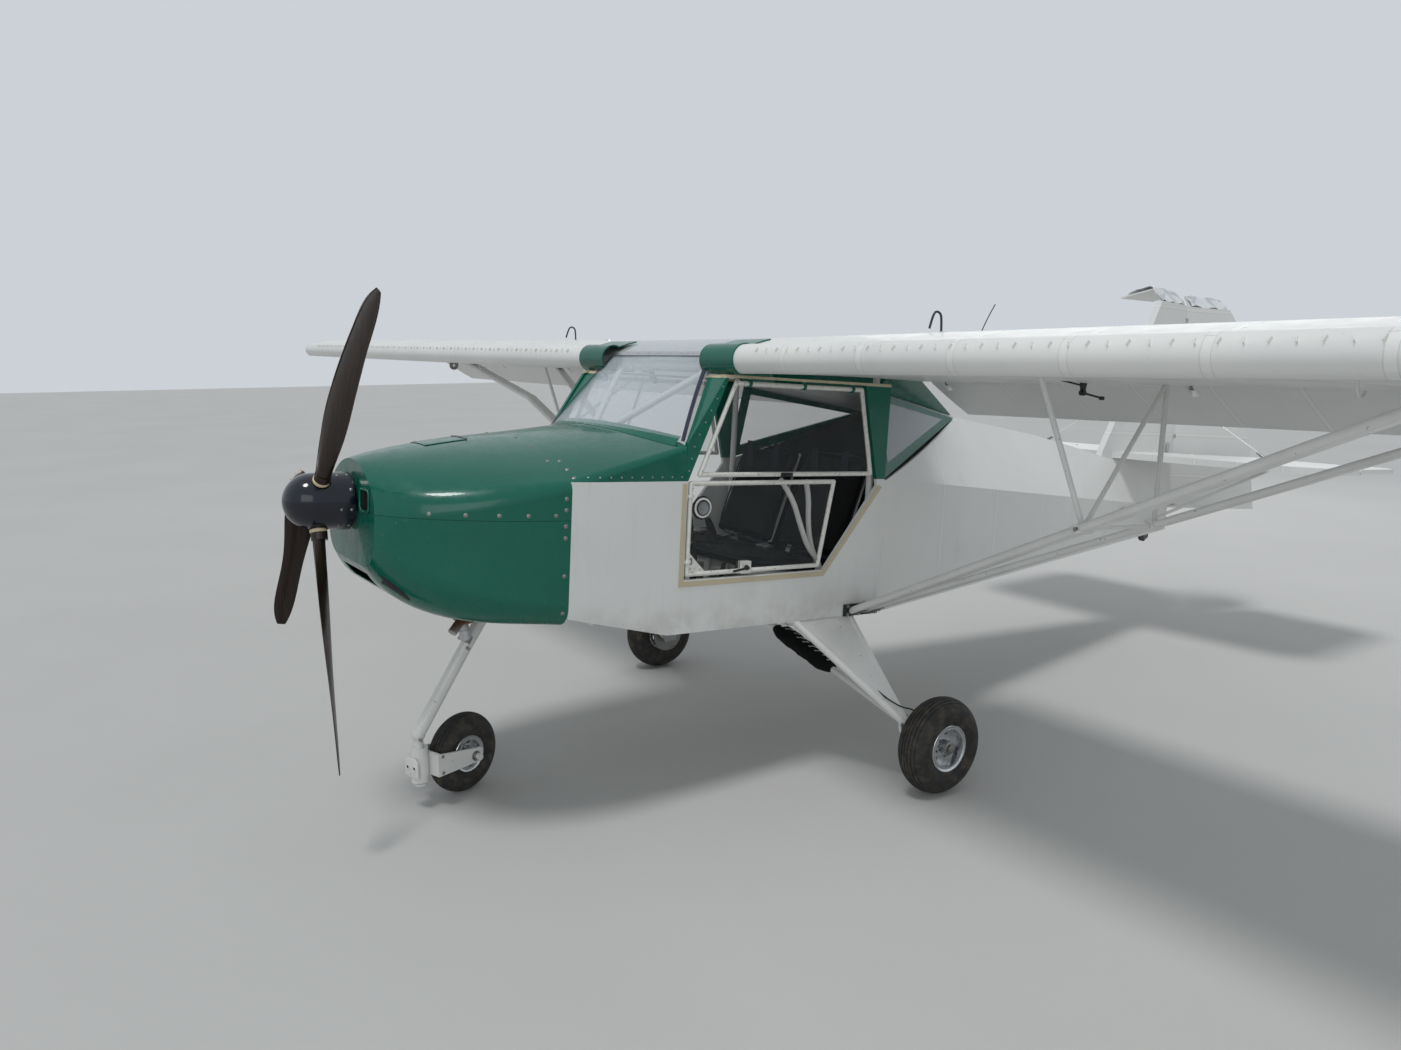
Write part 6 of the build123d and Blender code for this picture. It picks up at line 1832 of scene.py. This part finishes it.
class AIRCRAFT_OT_tail_trim(bpy.types.Operator):
    """Crumpled covering of the folded top, horns, cables, brace ends and hinge bolts"""
    bl_idname = "aircraft.tail_trim"
    bl_label = "Tail Trim"

    def execute(self, context):
        random.seed(7)
        rows = []
        for t in shares(18):
            row = []
            for s in shares(24):
                x = -2532 - 226 * s + 12 * math.sin(9 * t + 3 * s)
                if t < 0.4:
                    u = t / 0.4
                    y, z = 16 - 72 * u, 1966 + 74 * u - 8 * s
                else:
                    u = (t - 0.4) / 0.6
                    y, z = -56 - 138 * u, 2044 - 44 * u * u - 6 * s
                crease = 5 * math.sin(17 * s + 8 * t) * math.sin(7 * t + 2) + random.uniform(-2.2, 2.2)
                row.append(at(x, y, z + 5 + crease))
            rows.append(row)
        cap, area = cloth_sheet(rows, "crumpled_fin_top", "crumple")
        area / 0.30
        swing = (Matrix.Translation(at(RUDDER_HINGE_X, 0, 0)) @ BODY.to_3x3().to_4x4()
                 @ Matrix.Rotation(RUDDER_TURN, 4, "Z"))

        def rudder(x, y, z):
            return swing @ Vector((x / 1000, y / 1000, z / 1000))

        rows = []
        for t in shares(10):
            row = []
            for s in shares(20):
                x = -34 - 236 * s
                y = 10 - 66 * t
                z = 1956 + 62 * t + 5 * math.sin(13 * s + 5 * t) + random.uniform(-2, 2) - 6 * s
                row.append(rudder(x, y, z + 6))
            rows.append(row)
        tail, area = cloth_sheet(rows, "crumpled_rudder_top", "crumple", "rudder")
        area / 0.26

        horn = []
        for hand in (1, -1):
            horn.append(plate([rudder(x, hand * y, HORN_Z) for x, y in HORN_PLATE], 0.004, 0.0008))
            pin = [(0, -6), (5, -6), (5, 6), (0, 6)]
            horn.append(turned(pin, rudder(0, hand * HORN_REACH, HORN_Z), UP, 16))
        keep(joined(horn), "rudder_horn", "alloy", "rudder")
        for hand, name in SIDES:
            end = rudder(0, hand * HORN_REACH, HORN_Z)
            cable = tube([at(-2180, hand * 134, 856), at(-2400, hand * 118, 859), end], 0.0016, rings=1)
            modify(cable, "SUBSURF", levels=1, render_levels=1, subdivision_type="SIMPLE")
            keep(cable, "rudder_cable_" + name, "steel", None)
            tuple(at(-2640, hand * 100, 860))
            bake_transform(cable)
        guide = [(1.8, -20), (7, -20), (8, 0), (6, 22), (1.8, 22)]
        guides = [turned(guide, at(-2186, hand * 136, 856), heading(-1, 0, 0.02), 16) for hand in (1, -1)]
        keep(joined(guides), "cable_guides", "panel")

        bolts = []
        plates = []
        for side in (1, -1):
            for x, y, z, up in ((-2562, BRACE_OUT, 1116, -1), (BRACE_X, BRACE_OUT, 1151, 1)):
                plates.append(block(at(x, side * y, z), (0.05, 0.024, 0.003), 0.0008))
                bolts.append((at(x + 16, side * y, z + up * 1.6), heading(0, 0, up)))
                bolts.append((at(x - 16, side * y, z + up * 1.6), heading(0, 0, up)))
            out = heading(0, side, 0)
            bolts.append((at(-2480, side * 40, 750) + out * 0.03, out))
            disc = [(0, 0), (9, 0), (9, 4), (0, 4)]
            plates.append(turned(disc, at(BRACE_X, side * 18.2, 1545), out, 20))
            turnbuckle = [(4.2, -36), (6, -34), (7.5, -10), (7.5, 10), (6, 34), (4.2, 36)]
            way = (at(BRACE_X, 0, 1560) - at(BRACE_X, side * BRACE_OUT, 1146)).normalized()
            plates.append(turned(turnbuckle, at(BRACE_X, side * 640, 1176), way, 16))
        for z in (900, 1240, 1560, 1880):
            for hand in (1, -1):
                bolts.append((at(-2768, hand * 6.2, z), heading(0, hand, 0)))
        keep(joined(plates), "brace_ends", "steel")
        keep(scatter(bolt_head(0.0045, 0.004), bolts, 0.4), "tail_bolts", "steel")
        horn = plate([at(x, 0, z) + PORT * 0.03 for x, z in ELEVATOR_HORN], 0.004, 0.0008)
        keep(horn, "elevator_horn", "alloy", "elevator")
        rows = [[at(-3152, y, 1135.5), at(-3098, y, 1146)] for y in (420, 540, 660, 780)]
        tab = patch(rows, 0.0016, 0)
        keep(edit(tab, outward), "elevator_tab", "alloy", "elevator")
        bush = turned([(8.3, -10), (15, -10), (15, 10), (8.3, 10)], at(-2612, 0, 676), PORT, 28)
        keep(bush, "tail_eye_bush", "steel")
        return {"FINISHED"}


# Propeller

HUB = (1891, 0, 968)
# Radius, chord, pitch and sweep along a blade, and the way of each blade; the last one is snapped
BLADES = ((118, 46, 52, 0), (250, 74, 40, 4), (430, 96, 28, 8),
          (640, 84, 20, 2), (795, 60, 16, -14), (843, 22, 15, -24))
BLADE_ANGLES = (41.5, 161.5, 281.5)
SNAPPED = BLADE_ANGLES[-1]


def blade_place(angle, radius, chordwise, pitch, lift=0.0):
    """A point on a blade: out along it, across its chord, and off its face, in millimetres."""
    p, a = math.radians(pitch), math.radians(angle)
    x = math.sin(p) * chordwise + math.cos(p) * lift
    y = -math.cos(p) * chordwise + math.sin(p) * lift
    return at(HUB[0] + x, y * math.cos(a) + radius * math.sin(a),
              HUB[2] - y * math.sin(a) + radius * math.cos(a))


class AIRCRAFT_OT_propeller_trim(bpy.types.Operator):
    """Blade ferrules, edge strips, spinner screws and the splinters of the snapped blade"""
    bl_idname = "aircraft.propeller_trim"
    bl_label = "Propeller Trim"

    def execute(self, context):
        ferrules = []
        edges = []
        for angle in BLADE_ANGLES:
            a = math.radians(angle)
            way = heading(0, math.sin(a), math.cos(a))
            ferrules.append(turned([(23, 90), (26, 90), (26.5, 93), (26, 99), (23, 101)], at(*HUB), way, 36))
            if angle == SNAPPED:
                continue
            for edge, radius in ((1, 0.0012), (-1, 0.001)):
                points = [blade_place(angle, r, edge * chord / 2 + sweep, pitch)
                          for r, chord, pitch, sweep in BLADES]
                edges.append(tube(points, radius, smooth=True, rings=2))
        keep(joined(ferrules), "blade_ferrules", "cream_wood", "propeller")
        keep(joined(edges), "blade_edges", "edge", "propeller")
        screws = []
        for k in range(9):
            a = math.radians(BLADE_ANGLES[0] + 40 * k + 20)
            out = heading(0, math.sin(a), math.cos(a))
            for x in (1806, 1836):
                spot = at(x, 0, HUB[2]) + out * 0.3
                if k % 3 != 0 or x < 1810:
                    screws.append(touch("spinner", spot, -out))
        keep(scatter(screw_head(0.0034), screws, 0.5), "spinner_screws", "steel", "propeller")
        random.seed(11)
        splinters = []
        a = math.radians(SNAPPED)
        along = heading(0, math.sin(a), math.cos(a))
        for k in range(26):
            across = random.uniform(-31, 31)
            root = blade_place(SNAPPED, 236, across, 40, random.uniform(-4, 4))
            reach = random.uniform(0.012, 0.045) * (1 - abs(across) / 90)
            lean = Vector([random.uniform(-0.25, 0.25) for _ in range(3)])
            fresh()
            bpy.ops.mesh.primitive_cone_add(vertices=4, radius1=random.uniform(0.0015, 0.004), depth=reach,
                                            location=(0, 0, reach / 2))
            splinters.append(turned_to(settle(bpy.context.object), root, along + lean))
        keep(joined(splinters), "snapped_splinters", "orange", "propeller", smooth=0)
        return {"FINISHED"}


# The viewpoint of the photograph
PHOTO_WIDTH = 1401
CAMERA_PIXELS = 1040.998
CAMERA_PLACE = (3.394, 3.319, 1.548)
CAMERA_YAW = math.radians(34.615)
CAMERA_PITCH = math.radians(9.552)
CAMERA_ROLL = math.radians(0.216)
LAMPS = (
    ("key", "SUN", (3, 1.0, 9), (0, 0, 0), 1.35, 14),
    ("fill", "AREA", (7, 7, 4), (1, 0, 1), 110, (7, 4)),
    ("back", "AREA", (-7, -4, 5), (-1, 0, 1), 90, (6, 4)),
)


class AIRCRAFT_OT_stage(bpy.types.Operator):
    """Pale floor and backdrop, soft studio light, and the camera at the photograph's viewpoint"""
    bl_idname = "aircraft.stage"
    bl_label = "Studio and Camera"

    def execute(self, context):
        scene = context.scene
        scene.view_settings.view_transform = "Standard"
        fresh()
        bpy.ops.mesh.primitive_grid_add(x_subdivisions=8, y_subdivisions=8, size=90, location=(0, 0, 0))
        floor = bpy.context.object
        floor.name = "studio_floor"
        ground_look = Finish("studio_floor", (0.5, 0.5, 0.49, 1), 0.9)
        mottle = ground_look.noise(0.6, 3, where=ground_look.place()).smooth(0.2, 0.8)
        ground_look.colour(ground_look.mix(mottle, (0.49, 0.49, 0.48, 1), (0.52, 0.52, 0.51, 1)))
        floor.data.materials.append(ground_look.material)
        world = bpy.data.worlds.new("studio")
        scene.world = world
        world.use_nodes = True
        nodes, links = world.node_tree.nodes, world.node_tree.links
        light = nodes["Background"]
        light.inputs["Color"].default_value = (0.90, 0.95, 1.0, 1)
        light.inputs["Strength"].default_value = 0.46
        shown = nodes.new("ShaderNodeBackground")
        shown.inputs["Color"].default_value = (0.60, 0.64, 0.68, 1)
        path = nodes.new("ShaderNodeLightPath")
        seen = path.outputs["Is Camera Ray"]
        for ray in ("Is Transmission Ray", "Is Glossy Ray"):
            either = nodes.new("ShaderNodeMath")
            either.operation = "MAXIMUM"
            links.new(seen, either.inputs[0])
            links.new(path.outputs[ray], either.inputs[1])
            seen = either.outputs[0]
        switch = nodes.new("ShaderNodeMixShader")
        links.new(seen, switch.inputs[0])
        links.new(light.outputs[0], switch.inputs[1])
        links.new(shown.outputs[0], switch.inputs[2])
        links.new(switch.outputs[0], nodes["World Output"].inputs["Surface"])
        for name, kind, place, aim, power, size in LAMPS:
            data = bpy.data.lights.new(name, kind)
            data.energy = power
            if kind == "AREA":
                data.shape = "RECTANGLE"
                data.size, data.size_y = size
            else:
                data.angle = math.radians(size)
            lamp = bpy.data.objects.new(name, data)
            scene.collection.objects.link(lamp)
            lamp.location = place
            lamp.rotation_mode = "QUATERNION"
            lamp.rotation_quaternion = (Vector(aim) - Vector(place)).to_track_quat("-Z", "Y")
        data = bpy.data.cameras.new("photo_view")
        data.sensor_width = 36.0
        data.lens = 36.0 * CAMERA_PIXELS / PHOTO_WIDTH
        data.clip_end = 200
        camera = bpy.data.objects.new("photo_view", data)
        scene.collection.objects.link(camera)
        flat = Vector((-math.sin(CAMERA_YAW), -math.cos(CAMERA_YAW), 0))
        right = flat.cross(Vector((0, 0, 1)))
        ahead = flat * math.cos(CAMERA_PITCH) - Vector((0, 0, math.sin(CAMERA_PITCH)))
        down = -(Vector((0, 0, math.cos(CAMERA_PITCH))) + flat * math.sin(CAMERA_PITCH))
        across = right * math.cos(CAMERA_ROLL) + down * math.sin(CAMERA_ROLL)
        below = down * math.cos(CAMERA_ROLL) - right * math.sin(CAMERA_ROLL)
        aim = Matrix((across, -below, -ahead)).transposed()
        camera.matrix_world = Matrix.Translation(CAMERA_PLACE) @ aim.to_4x4()
        scene.camera = camera
        return {"FINISHED"}


OPERATORS = (AIRCRAFT_OT_dress_frame, AIRCRAFT_OT_nose_trim, AIRCRAFT_OT_exhaust_trim,
             AIRCRAFT_OT_screen_trim, AIRCRAFT_OT_wing_trim, AIRCRAFT_OT_strut_trim, AIRCRAFT_OT_cabin_fit,
             AIRCRAFT_OT_seats, AIRCRAFT_OT_door_trim, AIRCRAFT_OT_wheels, AIRCRAFT_OT_gear_trim,
             AIRCRAFT_OT_tail_trim, AIRCRAFT_OT_propeller_trim, AIRCRAFT_OT_stage)


class AIRCRAFT_PT_fit_out(bpy.types.Panel):
    """Lists the sizes, colours and steps"""
    bl_idname = "AIRCRAFT_PT_fit_out"
    bl_label = "Aircraft Fit-Out"
    bl_space_type = "VIEW_3D"
    bl_region_type = "UI"
    bl_category = "Aircraft"

    def draw(self, context):
        for group in (context.scene.aircraft_sizes, context.scene.aircraft_colours):
            box = self.layout.box()
            for name in group.__annotations__:
                box.prop(group, name)
        for operator in OPERATORS:
            self.layout.operator(operator.bl_idname)


CLASSES = (AircraftSizes, AircraftColours, *OPERATORS, AIRCRAFT_PT_fit_out)


def register():
    for kind in CLASSES:
        bpy.utils.register_class(kind)
    bpy.types.Scene.aircraft_sizes = bpy.props.PointerProperty(type=AircraftSizes)
    bpy.types.Scene.aircraft_colours = bpy.props.PointerProperty(type=AircraftColours)


def unregister():
    del bpy.types.Scene.aircraft_colours
    del bpy.types.Scene.aircraft_sizes
    for kind in reversed(CLASSES):
        bpy.utils.unregister_class(kind)


def main():
    """Fit the machine out, step by step."""
    register()
    for operator in OPERATORS:
        group, name = operator.bl_idname.split(".")
        getattr(getattr(bpy.ops, group), name)()
    fresh()


if __name__ == "__main__":
    main()
